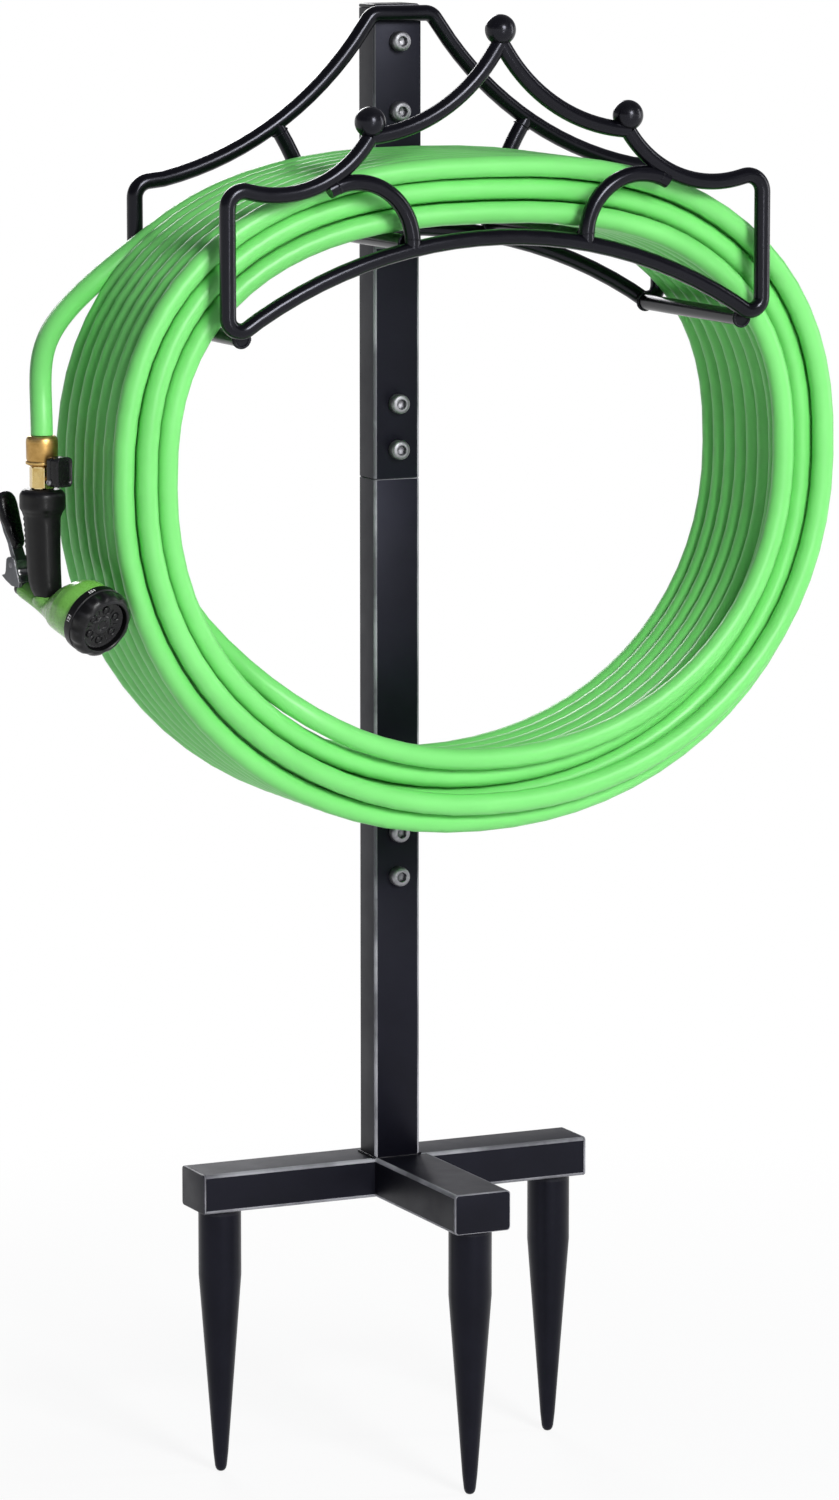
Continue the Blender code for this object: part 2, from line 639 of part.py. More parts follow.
def build_foot():
    """Build the crossbar, the forward leg, their end plates and the three stakes."""
    outer = rounded_rectangle(FOOT_HEIGHT, CROSSBAR_DEPTH, FOOT_CORNER, 2)
    inner = rounded_rectangle(FOOT_HEIGHT - 2 * FOOT_WALL, CROSSBAR_DEPTH - 2 * FOOT_WALL,
                              FOOT_CORNER / 2, 2)
    half = CROSSBAR_LENGTH / 2 - END_PLATE_THICKNESS - GAP
    along_x = axis_matrix((0, CROSSBAR_Y, FOOT_MIDDLE_Z), (1, 0, 0), (0, 0, 1))
    add_piece("crossbar", moved(hollow_prism(outer, inner, -half, half), along_x), "black_steel")
    for name, sign in (("left_end_plate", -1), ("right_end_plate", 1)):
        near = sign * (half + GAP)
        far = sign * CROSSBAR_LENGTH / 2
        plate = prism(outer, min(near, far), max(near, far))
        add_piece(name, moved(plate, along_x), "black_steel")
    leg_outer = rounded_rectangle(LEG_WIDTH, FOOT_HEIGHT, FOOT_CORNER, 2)
    leg_inner = rounded_rectangle(LEG_WIDTH - 2 * FOOT_WALL, FOOT_HEIGHT - 2 * FOOT_WALL,
                                  FOOT_CORNER / 2, 2)
    along_front = axis_matrix((LEG_X, POST_FRONT_Y, FOOT_MIDDLE_Z), (0, -1, 0), (1, 0, 0))
    leg_end = LEG_REACH - END_PLATE_THICKNESS - GAP
    add_piece("front_leg", moved(hollow_prism(leg_outer, leg_inner, GAP, leg_end), along_front),
              "black_steel")
    plate = prism(leg_outer, leg_end + GAP, LEG_REACH)
    add_piece("front_end_plate", moved(plate, along_front), "black_steel")
    top = FOOT_BOTTOM_Z - GAP
    radius, tip = STAKE_DIAMETER / 2, STAKE_TIP_DIAMETER / 2
    profile = [(0, 0), (tip * 0.62, tip * 0.18), (tip, tip), (radius, top - STAKE_STRAIGHT),
               (radius, top), (0, top)]
    places = {
        "left_stake": (-CROSSBAR_LENGTH / 2 + STAKE_INSET, CROSSBAR_Y, 0),
        "right_stake": (CROSSBAR_LENGTH / 2 - STAKE_INSET, CROSSBAR_Y, 0),
        "front_stake": (LEG_X, LEG_FRONT_Y + STAKE_INSET, 0),
    }
    for name, place in places.items():
        add_piece(name, turned(profile, 24), "black_steel", matrix=Matrix.Translation(place))


def build_plate_and_fasteners():
    """Build the mounting plate, the six socket screws and the nuts behind them."""
    outline = rounded_rectangle(POST_WIDTH, PLATE_TOP_Z - PLATE_BOTTOM_Z, POST_CORNER, 2)
    seat = axis_matrix((0, POST_FRONT_Y - GAP, (PLATE_TOP_Z + PLATE_BOTTOM_Z) / 2), (0, -1, 0))
    plate = moved(prism(outline, 0, PLATE_THICKNESS), seat)
    plate = carve(plate, [screw_hole(height) for height in PLATE_SCREW_Z])
    add_piece("basket_plate", plate, "black_steel")
    head, shank = SCREW_HEAD_DIAMETER / 2, SCREW_SHANK_DIAMETER / 2
    edge = SCREW_HEAD_HEIGHT * 0.12
    profile = [(0, -SCREW_SHANK_LENGTH), (shank, -SCREW_SHANK_LENGTH), (shank, 0), (head, 0),
               (head, SCREW_HEAD_HEIGHT - edge), (head - edge, SCREW_HEAD_HEIGHT), (0, SCREW_HEAD_HEIGHT)]
    socket = prism(regular_outline(SOCKET_ACROSS_FLATS, 6), SCREW_HEAD_HEIGHT - SOCKET_DEPTH,
                   SCREW_HEAD_HEIGHT + SOCKET_DEPTH)
    screw_mesh = carve(turned(profile, 16), [socket])
    bore = regular_outline(SCREW_SHANK_DIAMETER + 4 * GAP, 12)
    hexagon = regular_outline(NUT_ACROSS_FLATS, 6)
    rim = []
    for index in range(12):
        corner = Vector(hexagon[index // 2])
        follow = Vector(hexagon[(index // 2 + 1) % 6])
        point = corner if index % 2 == 0 else (corner + follow) / 2
        rim.append((point.x, point.y))
    wall_back = POST_FRONT_Y + POST_WALL + GAP
    sleeve_back = wall_back + SLEEVE_WALL + GAP
    rows = [("plate", PLATE_SCREW_Z, PLATE_FRONT_Y - GAP, wall_back),
            ("upper", UPPER_SLEEVE_SCREW_Z, POST_FRONT_Y - GAP, sleeve_back),
            ("lower", LOWER_SLEEVE_SCREW_Z, POST_FRONT_Y - GAP, sleeve_back)]
    for label, heights, head_y, nut_y in rows:
        for number, height in enumerate(heights, start=1):
            place = axis_matrix((0, head_y, height), (0, -1, 0))
            add_piece(f"{label}_screw_{number}", screw_mesh.copy(), "zinc_screw", matrix=place)
            place = axis_matrix((0, nut_y, height), (0, 1, 0))
            nut = hollow_prism(rim, bore, 0, NUT_THICKNESS)
            add_piece(f"{label}_nut_{number}", nut, "zinc_screw", matrix=place)


def oval_point(angle, offset):
    """Return a front view point of the winding form, moved outward by an offset."""
    turn = math.radians(angle)
    cosine, sine = math.cos(turn), math.sin(turn)
    roundness = TOP_ROUNDNESS if sine >= 0 else BOTTOM_ROUNDNESS
    half_height = COIL_HALF_TOP if sine >= 0 else COIL_HALF_BOTTOM
    power = 2 / roundness
    x = COIL_HALF_WIDTH * math.copysign(abs(cosine) ** power, cosine)
    z = half_height * math.copysign(abs(sine) ** power, sine)
    normal_x = math.copysign(abs(x / COIL_HALF_WIDTH) ** (roundness - 1), x) / COIL_HALF_WIDTH
    normal_z = math.copysign(abs(z / half_height) ** (roundness - 1), z) / half_height
    length = math.hypot(normal_x, normal_z)
    return x + offset * normal_x / length, COIL_CENTRE_Z + z + offset * normal_z / length


def smooth_step(share):
    """Ease a share between 0 and 1 so that it starts and ends level."""
    return share * share * (3 - 2 * share)


def coil_route():
    """Return the centre line of the coil, from the short inner layer out to the fourth layer.

    Each full layer runs steadily along Y. Where it turns back, the strand climbs one layer in
    half a turn while its travel along Y slows, stops and reverses.
    """
    front_y = POST_Y - COIL_FRONT_TO_POST
    back_y = front_y + TURNS_PER_LAYER * TURN_PITCH
    tail_y = POST_Y - TAIL_BACK_TO_POST
    drift_end = TAIL_START_ANGLE + TAIL_DRIFT_ANGLE
    stages = [("drift", TAIL_DRIFT_ANGLE), ("climb", 180.0), ("run", 360.0 * TURNS_PER_LAYER),
              ("climb", 180.0), ("run", 360.0 * TURNS_PER_LAYER), ("climb", 180.0),
              ("run", 360.0 * (TURNS_PER_LAYER + LAST_LAYER_EXTRA_STEPS / LOOP_POINTS))]
    total = sum(span for _, span in stages)
    count = round(total * LOOP_POINTS / 360)
    points = []
    for index in range(count + 1):
        travel = total * index / count
        angle = TAIL_START_ANGLE + travel
        done, layer, heading, base_y = 0.0, -1, 1, front_y
        for kind, span in stages:
            inside = min(travel - done, span)
            if kind == "drift":
                share = inside / span
                depth = tail_y + (front_y - tail_y) * smooth_step(share)
                offset = -LAYER_STEP - TAIL_EXTRA_OFFSET * max(0.0, 1 - inside / TAIL_EASE_ANGLE)
            elif kind == "climb":
                depth = base_y - heading * TURN_PITCH / 360 * (inside - inside ** 2 / 180)
                offset = (layer + inside / 180) * LAYER_STEP
            else:
                depth = base_y + heading * TURN_PITCH * inside / 360
                offset = layer * LAYER_STEP
            if travel <= done + span:
                break
            done += span
            if kind == "climb":
                layer += 1
            if kind == "run":
                heading = -heading
                base_y = depth
        x, z = oval_point(angle, offset)
        points.append(Vector((x, depth, z)))
    return points


def least_strand_gap(points):
    """Measure the least distance between the strand and itself, on segments half a loop apart."""
    skip = LOOP_POINTS // 3
    best = math.inf
    for first in range(len(points) - 1):
        a0, a1 = points[first], points[first + 1]
        for second in range(first + skip, len(points) - 1):
            b0, b1 = points[second], points[second + 1]
            if (a0 - b0).length > 0.09:
                continue
            best = min(best, segment_distance(a0, a1, b0, b1))
    return best - HOSE_DIAMETER


def segment_distance(a0, a1, b0, b1):
    """Return the least distance between two straight segments."""
    along_a, along_b, between = a1 - a0, b1 - b0, a0 - b0
    aa, bb, ab = along_a.dot(along_a), along_b.dot(along_b), along_a.dot(along_b)
    a_between, b_between = along_a.dot(between), along_b.dot(between)
    spread = aa * bb - ab * ab
    share_a = min(max((ab * b_between - bb * a_between) / spread, 0), 1) if spread > 1e-15 else 0.0
    share_b = min(max((ab * share_a + b_between) / bb, 0), 1)
    share_a = min(max((ab * share_b - a_between) / aa, 0), 1)
    return (between + along_a * share_a - along_b * share_b).length


def smooth_route(anchors, spacing):
    """Return evenly spaced points of a smooth curve through anchors."""
    dense = []
    for index in range(len(anchors) - 1):
        before = anchors[index - 1] if index > 0 else anchors[0] * 2 - anchors[1]
        start, end = anchors[index], anchors[index + 1]
        after = anchors[index + 2] if index + 2 < len(anchors) else end * 2 - start
        for step in range(16):
            share = step / 16
            first = (end - before) * 0.5
            second = (after - start) * 0.5
            cubic = 2 * share ** 3 - 3 * share ** 2 + 1
            dense.append(start * cubic + end * (1 - cubic)
                         + first * (share ** 3 - 2 * share ** 2 + share)
                         + second * (share ** 3 - share ** 2))
    dense.append(anchors[-1])
    lengths = [(b - a).length for a, b in zip(dense, dense[1:])]
    total = sum(lengths)
    count = max(2, round(total / spacing))
    points = [dense[0]]
    walked, index = 0.0, 0
    for number in range(1, count):
        target = total * number / count
        while walked + lengths[index] < target:
            walked += lengths[index]
            index += 1
        share = (target - walked) / lengths[index]
        points.append(dense[index].lerp(dense[index + 1], share))
    points.append(dense[-1])
    return points


def lead_route(route):
    """Return the lead's points, from the end of the coil outward and down to the nozzle's nut."""
    end = route[-1]
    heading = (route[-1] - route[-2]).normalized()
    nut_top = Vector((NOZZLE_X, POST_Y - NOZZLE_TO_POST, NOZZLE_Z + GAP))
    anchors = [
        end + heading * (GAP + HOSE_DIAMETER),
        Vector((-0.2800, POST_Y - 0.0450, 0.9640)),
        Vector((-0.3120, POST_Y - 0.0560, 0.9300)),
        Vector((-0.3390, POST_Y - 0.0960, 0.9030)),
        nut_top + Vector((0, 0, HOSE_DIAMETER)),
    ]
    middle = smooth_route(anchors, 1.6 * HOSE_DIAMETER)
    return [end + heading * GAP] + middle + [nut_top]


def build_hose():
    """Build the coil, the lead down to the nozzle and the coupling on the inner tail."""
    route = coil_route()
    print(f"least gap of the coil to itself: {least_strand_gap(route) * 1000:.2f} mm")
    coil = rod_mesh(route, HOSE_DIAMETER / 2, resolution=1)
    add_piece("hose_coil", coil, "hose_green", smooth_angle=70.0)
    add_piece("hose_lead", rod_mesh(lead_route(route), HOSE_DIAMETER / 2, resolution=3), "hose_green")
    tail = route[0]
    outward = (route[0] - route[1]).normalized()
    frame = axis_matrix(tail + outward * GAP, outward)
    radius, neck = COUPLING_DIAMETER / 2, HOSE_DIAMETER / 2
    ferrule = COUPLING_LENGTH * 0.55
    profile = [(0, 0), (radius - 0.001, 0), (radius, 0.001), (radius, ferrule - 0.001),
               (radius - 0.001, ferrule), (neck, ferrule + 0.001), (neck, COUPLING_LENGTH),
               (0, COUPLING_LENGTH)]
    add_piece("tail_coupling", turned(profile, 20), "brass", matrix=frame)
    swivel_axis = frame @ Matrix.Translation((0, 0, COUPLING_LENGTH + GAP))
    swivel = prism(regular_outline(SWIVEL_DIAMETER * 0.94, 8), 0, SWIVEL_LENGTH, 0.001)
    thread = turned([(0, SWIVEL_LENGTH - 0.009), (0.0095, SWIVEL_LENGTH - 0.009),
                     (0.0095, SWIVEL_LENGTH + 0.002), (0, SWIVEL_LENGTH + 0.002)], 16)
    axis = add_frame("tail_swivel_axis", swivel_axis)
    add_piece("tail_swivel_nut", carve(swivel, [thread]), "brass", parent=axis)


def oblong_ring(centre_x, half_length, half_width, height, points=16):
    """Return a rounded oblong section of the grip at a height."""
    ring = []
    for index in range(points):
        angle = 2 * math.pi * (index + 0.5) / points
        cosine, sine = math.cos(angle), math.sin(angle)
        reach_x = half_length * math.copysign(abs(cosine) ** 0.8, cosine)
        reach_y = half_width * math.copysign(abs(sine) ** 0.8, sine)
        ring.append((centre_x + reach_x, reach_y, height))
    return ring


def grip_mesh(top, length):
    """Return the moulded grip: wide collar, finger notches at the rear and a tapered foot."""
    sections = [(0.000, 0.0138, 0.0138, 0.000), (0.000, 0.0165, 0.0160, 0.004),
                (0.000, 0.0165, 0.0160, 0.015), (-0.0005, 0.0140, 0.0128, 0.021),
                (0.000, 0.0138, 0.0116, 0.040), (0.001, 0.0132, 0.0112, 0.058),
                (0.002, 0.0128, 0.0110, 0.070), (0.004, 0.0112, 0.0100, 0.078),
                (0.005, 0.0085, 0.0080, length)]
    mesh = loft([oblong_ring(x, a, b, top - drop) for x, a, b, drop in reversed(sections)])
    cutters = []
    for number in range(GRIP_NOTCHES):
        height = top - 0.0235 - number * GRIP_NOTCH_PITCH
        outline = regular_outline(0.0026, 6, 30)
        frame = axis_matrix((-0.0147, 0, height), (0, 1, 0), (1, 0, 0))
        cutters.append(moved(prism(outline, -0.012, 0.012), frame))
    return carve(mesh, cutters)


def plate_mesh(outline, low, high):
    """Return a flat plate from an outline in the nozzle's upright plane, between two side distances."""
    rings = [[(x, side, z) for x, z in outline] for side in (low, high)]
    return loft(rings)


def thick_path(path, widths):
    """Return an outline round a path of (x, z) points with a half width at each point."""
    left, right = [], []
    for index, (x, z) in enumerate(path):
        ahead = path[min(index + 1, len(path) - 1)]
        behind = path[max(index - 1, 0)]
        along = Vector((ahead[0] - behind[0], ahead[1] - behind[1])).normalized()
        left.append((x - along.y * widths[index], z + along.x * widths[index]))
        right.append((x + along.y * widths[index], z - along.x * widths[index]))
    return left + list(reversed(right))


def build_trigger(nozzle):
    """Build the rear trigger with its pad, the bracket at the nozzle's heel and the pin."""
    pivot = Matrix.Translation((-PIVOT_BACK, 0, -PIVOT_DROP))
    pivot_y = pivot @ Matrix.Rotation(math.radians(-90), 4, "X")
    axis = add_frame("trigger_axis", pivot_y, nozzle)
    upright = Matrix.Rotation(math.radians(90), 4, "X")
    hub = 0.0042
    path = [(0.0, hub * 0.82), (-0.004, 0.014), (-0.0115, 0.027), (-0.018, 0.040), (-0.0215, 0.050)]
    spine = plate_mesh(thick_path(path, [0.0026, 0.0022, 0.0014, 0.0013, 0.0010]),
                       -TRIGGER_WIDTH / 2, TRIGGER_WIDTH / 2)
    ring_outer = regular_outline(2 * hub, 16)
    ring_inner = regular_outline(PIN_DIAMETER + 4 * GAP, 16)
    eye = hollow_prism(ring_outer, ring_inner, -TRIGGER_WIDTH / 2, TRIGGER_WIDTH / 2)
    eye = moved(eye, axis_matrix((0, 0, 0), (0, 1, 0), (1, 0, 0)))
    lever = unite(spine, eye)
    add_piece("trigger_lever", moved(lever, upright), "grey_metal", parent=axis)
    pad_path = [(x + 0.0062, z) for x, z in path[2:]]
    pad_path = [(-0.0025, 0.0155)] + pad_path + [(-0.0172, 0.0535)]
    rings = []
    for (x, z), half_thick, half_wide in zip(pad_path, (0.0016, 0.0042, 0.0046, 0.0046, 0.0030),
                                             (0.005, 0.0075, 0.009, 0.009, 0.006)):
        ring = []
        for index in range(12):
            angle = 2 * math.pi * index / 12
            ring.append((x + half_thick * math.cos(angle), half_wide * math.sin(angle),
                         z + 0.25 * half_thick * math.cos(angle)))
        rings.append(ring)
    pad = carve(loft(rings), [plate_mesh(thick_path(path, [0.0030, 0.0026, 0.0018, 0.0017, 0.0014]),
                                         -0.02, 0.02)])
    add_piece("trigger_pad", moved(pad, upright), "black_plastic", parent=axis)
    pin_half = PIN_LENGTH / 2
    pin = turned([(0, -pin_half), (PIN_DIAMETER / 2, -pin_half), (PIN_DIAMETER / 2, pin_half),
                  (0, pin_half)], 16)
    pin = moved(pin, axis_matrix((-PIVOT_BACK, 0, -PIVOT_DROP), (0, 1, 0)))
    add_piece("trigger_pin", pin, "zinc_screw", parent=nozzle)


def unite(first, second):
    """Return the union of two meshes."""
    body = bpy.data.objects.new("united", first)
    bpy.context.scene.collection.objects.link(body)
    other = bpy.data.objects.new("other", second)
    bpy.context.scene.collection.objects.link(other)
    other.hide_render = True
    other.display_type = "WIRE"
    modifier = body.modifiers.new("join", "BOOLEAN")
    modifier.operation = "UNION"
    modifier.solver = "EXACT"
    modifier.object = other
    result = evaluated_mesh(body)
    bpy.data.objects.remove(other, do_unlink=True)
    return result


def build_bracket(nozzle):
    """Build the forked bracket that holds the trigger's pin above the nozzle's heel."""
    inner = TRIGGER_WIDTH / 2 + 2 * GAP
    outer = inner + CHEEK_THICKNESS
    outline = [(-0.0052, 0.0045), (0.0042, 0.0050), (0.0060, -0.002), (0.0100, -0.0125),
               (0.0100, -0.0200), (0.0010, -0.0180), (-0.0060, -0.0125), (-0.0110, -0.0085),
               (-0.0062, -0.005)]
    outline = [(x - PIVOT_BACK, z - PIVOT_DROP) for x, z in outline]
    fork = plate_mesh(outline, -outer, outer)
    slot = [(-0.02, -0.0075), (0.02, -0.0075), (0.02, 0.02), (-0.02, 0.02)]
    slot = [(x - PIVOT_BACK, z - PIVOT_DROP) for x, z in slot]
    bore = turned([(0, -0.02), (PIN_DIAMETER / 2 + GAP, -0.02), (PIN_DIAMETER / 2 + GAP, 0.02),
                   (0, 0.02)], 16)
    bore = moved(bore, axis_matrix((-PIVOT_BACK, 0, -PIVOT_DROP), (0, 1, 0)))
    seat_radius = PIPE_DIAMETER / 2 + GAP
    seat = turned([(0, -0.02), (seat_radius, -0.02), (seat_radius, 0.04), (0, 0.04)], 24)
    fork = carve(fork, [plate_mesh(slot, -inner, inner), bore, moved(seat, barrel_frame())])
    add_piece("trigger_bracket", fork, "grey_metal", parent=nozzle)


def barrel_frame():
    """Return the barrel's frame in the nozzle's frame: Z along the jet, X up and forward."""
    fall = math.radians(BARREL_FALL)
    return axis_matrix((-BARREL_START_BACK, 0, -BARREL_START_DROP),
                       (math.cos(fall), 0, -math.sin(fall)), (math.sin(fall), 0, math.cos(fall)))


def build_spray_head(nozzle):
    """Build the green body from heel pipe to bell, the ribbed dial and the spray face."""
    pipe, bell = PIPE_DIAMETER / 2, BELL_DIAMETER / 2
    stations = [(0.000, pipe * 0.9, 0.0), (0.0015, pipe, 0.0), (0.022, pipe * 1.05, 0.0),
                (0.034, pipe * 1.35, 0.10), (0.044, pipe * 2.25, 0.42), (0.052, bell * 0.80, 0.66),
                (0.060, bell * 0.94, 0.88), (0.068, bell, 1.0), (BELL_LENGTH, bell, 1.0)]
    rings = []
    for along, radius, rise in stations:
        ring = []
        for index in range(24):
            angle = 2 * math.pi * index / 24
            ring.append((rise * BELL_RISE + radius * math.cos(angle), radius * math.sin(angle), along))
        rings.append(ring)
    body = moved(loft(rings), barrel_frame())
    drop = VALVE_LENGTH + NUT_LENGTH + 2 * GAP
    clearance = grip_mesh(-drop - GAP, GRIP_LENGTH)
    clearance.transform(Matrix.Translation((0, 0, -GAP)))
    clearance.transform(Matrix.Diagonal((1.02, 1.02, 1.0, 1.0)))
    body = carve(body, [clearance])
    add_piece("spray_body", body, "green_plastic", parent=nozzle)
    start = barrel_frame() @ Matrix.Translation((BELL_RISE, 0, BELL_LENGTH + GAP))
    axis = add_frame("dial_axis", start, nozzle)
    outer, face = DIAL_DIAMETER / 2, FACE_DIAMETER / 2
    rim = DIAL_LENGTH * 0.35
    sections = [(0.0, outer - 0.001, 0.0), (0.001, outer, 0.0), (rim, outer, 0.0),
                (rim + 0.001, outer, 0.0009), (DIAL_LENGTH - 0.003, outer - 0.0012, 0.0009),
                (DIAL_LENGTH, outer - 0.0042, 0.0)]
    rings = []
    for along, radius, rib in sections:
        ring = []
        for index in range(40):
            angle = 2 * math.pi * index / 40
            reach = radius - (rib if index % 4 in (0, 1) else 0.0)
            ring.append((reach * math.cos(angle), reach * math.sin(angle), along))
        rings.append(ring)
    recess = turned([(0, DIAL_LENGTH - FACE_RECESS - 0.004), (face, DIAL_LENGTH - FACE_RECESS - 0.004),
                     (face, DIAL_LENGTH + 0.01), (0, DIAL_LENGTH + 0.01)], 32)
    add_piece("spray_dial", carve(loft(rings), [recess]), "black_plastic", parent=axis)
    base = DIAL_LENGTH - FACE_RECESS - 0.004 + GAP
    disc = turned([(0, base), (face - GAP, base), (face - GAP, base + 0.0025),
                   (face * 0.72, base + 0.0036), (0, base + 0.0036)], 32)
    pockets = []
    for number in range(6):
        angle = 2 * math.pi * number / 6
        place = Matrix.Translation((face * 0.62 * math.cos(angle), face * 0.62 * math.sin(angle), 0))
        pocket = turned([(0, base + 0.0018), (face * 0.16, base + 0.0018), (face * 0.16, base + 0.01),
                         (0, base + 0.01)], 12)
        pockets.append(moved(pocket, place))
    add_piece("spray_face", carve(disc, pockets), "black_plastic", parent=axis)


def build_nozzle():
    """Build the nozzle with its nut, shut-off valve, grip, trigger and spray head."""
    place = Matrix.Translation((NOZZLE_X, POST_Y - NOZZLE_TO_POST, NOZZLE_Z))
    turn = Matrix.Rotation(math.radians(NOZZLE_HEADING), 4, "Z")
    nozzle = add_frame("nozzle_frame", place @ turn)
    radius = NUT_DIAMETER / 2
    nut_profile = [(0, -NUT_LENGTH), (radius * 0.86, -NUT_LENGTH), (radius * 1.03, -NUT_LENGTH + 0.0012),
                   (radius * 1.03, -NUT_LENGTH + 0.0028), (radius * 0.97, -NUT_LENGTH + 0.0038),
                   (radius, -0.004), (radius * 0.9, -0.0008), (radius * 0.8, 0), (0, 0)]
    add_piece("coupling_nut", turned(nut_profile, 24), "brass", parent=nozzle)
    valve_top = -NUT_LENGTH - GAP
    valve_low = valve_top - VALVE_LENGTH
    valve_middle = (valve_top + valve_low) / 2
    stem_radius = STEM_DIAMETER / 2
    hexagon = regular_outline(VALVE_ACROSS_FLATS, 6, 30)
    bore = turned([(0, STEM_SEAT), (stem_radius + GAP, STEM_SEAT), (stem_radius + GAP, VALVE_ACROSS_FLATS),
                   (0, VALVE_ACROSS_FLATS)], 16)
    bore = moved(bore, axis_matrix((0, 0, valve_middle), (1, 0, 0)))
    valve = carve(prism(hexagon, valve_low, valve_top, 0.0006), [bore])
    add_piece("valve_body", valve, "stem_brass", parent=nozzle)
    axis = add_frame("valve_axis", axis_matrix((0, 0, valve_middle), (1, 0, 0), (0, 0, 1)), nozzle)
    stem_start = STEM_SEAT + GAP
    stem_end = LEVER_STANDOFF + LEVER_DEPTH * STEM_REACH
    stem = turned([(0, stem_start), (stem_radius, stem_start), (stem_radius, stem_end), (0, stem_end)], 16)
    add_piece("valve_stem", stem, "stem_brass", parent=axis)
    outline = rounded_rectangle(LEVER_HEIGHT, LEVER_WIDTH, 0.003, 2)
    handle = prism(outline, LEVER_STANDOFF, LEVER_STANDOFF + LEVER_DEPTH, 0.001)
    handle = moved(handle, Matrix.Translation((LEVER_HEIGHT / 2 - 0.006, 0, 0)))
    hole_end = LEVER_STANDOFF + LEVER_DEPTH * STEM_REACH + GAP
    hole = turned([(0, 0), (stem_radius + GAP, 0), (stem_radius + GAP, hole_end), (0, hole_end)], 16)
    add_piece("valve_lever", carve(handle, [hole]), "black_plastic", parent=axis)
    add_piece("grip_handle", grip_mesh(valve_low - GAP, GRIP_LENGTH), "black_plastic", parent=nozzle)
    build_bracket(nozzle)
    build_trigger(nozzle)
    build_spray_head(nozzle)


def report_places():
    """Print the world places of the joint axes and the mount face."""
    bpy.context.view_layer.update()
    for name in ("trigger_axis", "dial_axis", "valve_axis", "tail_swivel_axis"):
        matrix = bpy.data.objects[name].matrix_world
        place = ", ".join(f"{value:.5f}" for value in matrix.translation)
        axis = ", ".join(f"{value:.5f}" for value in matrix.col[2][:3])
        print(f"{name}: at ({place}) along ({axis})")
    print(f"mount face: ({LEG_X:.5f}, {POST_FRONT_Y - LEG_REACH / 2:.5f}, {FOOT_BOTTOM_Z:.5f})")


def main():
    """Build the whole stand."""
    clear_scene()
    build_post()
    build_foot()
    build_plate_and_fasteners()
    build_front_frame()
    build_back_frame()
    build_depth_rods()
    build_hose()
    build_nozzle()
    report_places()


main()
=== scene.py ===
"""Looks of a garden hose stand: post and foot, bent rod basket, coiled hose and nozzle.

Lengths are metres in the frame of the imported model. Every finish is procedural.
"""

import json
import logging
import math
from dataclasses import dataclass
from enum import Enum
from typing import Iterable, Sequence

import bmesh
import bpy
import numpy as np
from bmesh.types import BMesh
from bpy.types import Material, Mesh, Node, NodeSocket, NodeTree, Object
from mathutils import Matrix, Vector

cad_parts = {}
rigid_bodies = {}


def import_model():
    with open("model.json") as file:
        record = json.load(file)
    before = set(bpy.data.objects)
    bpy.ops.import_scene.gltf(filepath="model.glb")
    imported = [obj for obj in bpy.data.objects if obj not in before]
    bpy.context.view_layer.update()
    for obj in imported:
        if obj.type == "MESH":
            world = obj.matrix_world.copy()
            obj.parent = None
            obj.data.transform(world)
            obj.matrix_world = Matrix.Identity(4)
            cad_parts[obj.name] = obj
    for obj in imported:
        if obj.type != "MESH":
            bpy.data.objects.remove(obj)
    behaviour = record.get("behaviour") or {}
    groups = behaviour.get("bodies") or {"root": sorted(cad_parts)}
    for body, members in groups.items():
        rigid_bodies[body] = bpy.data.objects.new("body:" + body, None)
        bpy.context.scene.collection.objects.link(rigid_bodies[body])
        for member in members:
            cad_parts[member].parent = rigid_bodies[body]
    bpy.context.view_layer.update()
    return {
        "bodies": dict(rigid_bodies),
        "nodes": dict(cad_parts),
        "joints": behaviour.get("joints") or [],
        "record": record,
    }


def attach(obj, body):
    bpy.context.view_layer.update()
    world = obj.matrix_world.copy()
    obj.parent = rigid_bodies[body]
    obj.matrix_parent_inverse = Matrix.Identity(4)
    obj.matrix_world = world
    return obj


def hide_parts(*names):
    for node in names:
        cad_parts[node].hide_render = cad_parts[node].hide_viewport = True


LOG = logging.getLogger("hose_stand")
# Clearance between pieces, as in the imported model.
GAP = 0.0003
MM = 0.001
# Mesh attributes that the finishes read. The first marks pale edges: rubbed paint, and on the gloss
# steel also a painted edge highlight.
WEAR_AND_HIGHLIGHT, AXIAL, ALONG, AROUND = "wear_and_highlight", "axial", "along", "around"
# Part of the full slope that a smooth run of sizes keeps at each row.
SLOPE_SHARE = 0.6
# Gloss smears are this much smaller than the mottling of the colour.
SMEAR_SHARE = 0.4
MERGE_DISTANCE = 2e-6
# Curvature per metre where the pale edge mark begins and where it is full, and its share on faces
# that look down. The mark is rubbed paint, and on the gloss steel also a painted edge highlight.
WEAR_AND_HIGHLIGHT_START, WEAR_AND_HIGHLIGHT_FULL, WEAR_AND_HIGHLIGHT_UNDERSIDE = 260.0, 520.0, 0.15
# Upward part of the normal below which a face looks down, and the least area to divide by.
FACING_DOWN, LEAST_AREA = -0.05, 1e-10
# Angle in degrees above which an edge is shaded sharp.
SMOOTH_ANGLE = 38.0

SIDES = (("left", -1), ("right", 1))

Point = tuple[float, float, float]
FlatPoint = tuple[float, float]


class Body(Enum):
    """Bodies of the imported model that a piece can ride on."""

    STAND = "stand"
    HOSE = "hose"
    TRIGGER = "trigger"
    DIAL = "dial"
    VALVE = "valve"
    TAIL_NUT = "tail_nut"


class Slot(Enum):
    """Material slots of the record."""

    STEEL = "black_steel"
    PLASTIC = "black_plastic"
    ZINC = "zinc_screw"
    HOSE = "hose_green"
    BRASS = "brass"
    GREEN = "green_plastic"
    GREY = "grey_metal"


def linear(colour: str) -> tuple[float, float, float, float]:
    """Turn an sRGB hex colour into linear values.

    Args:
        colour: Six hex digits after a hash sign.

    Returns:
        Red, green, blue and an alpha of one.
    """
    parts = [int(colour[index:index + 2], 16) / 255 for index in (1, 3, 5)]
    values = [part / 12.92 if part <= 0.04045 else ((part + 0.055) / 1.055) ** 2.4
              for part in parts]
    return values[0], values[1], values[2], 1.0


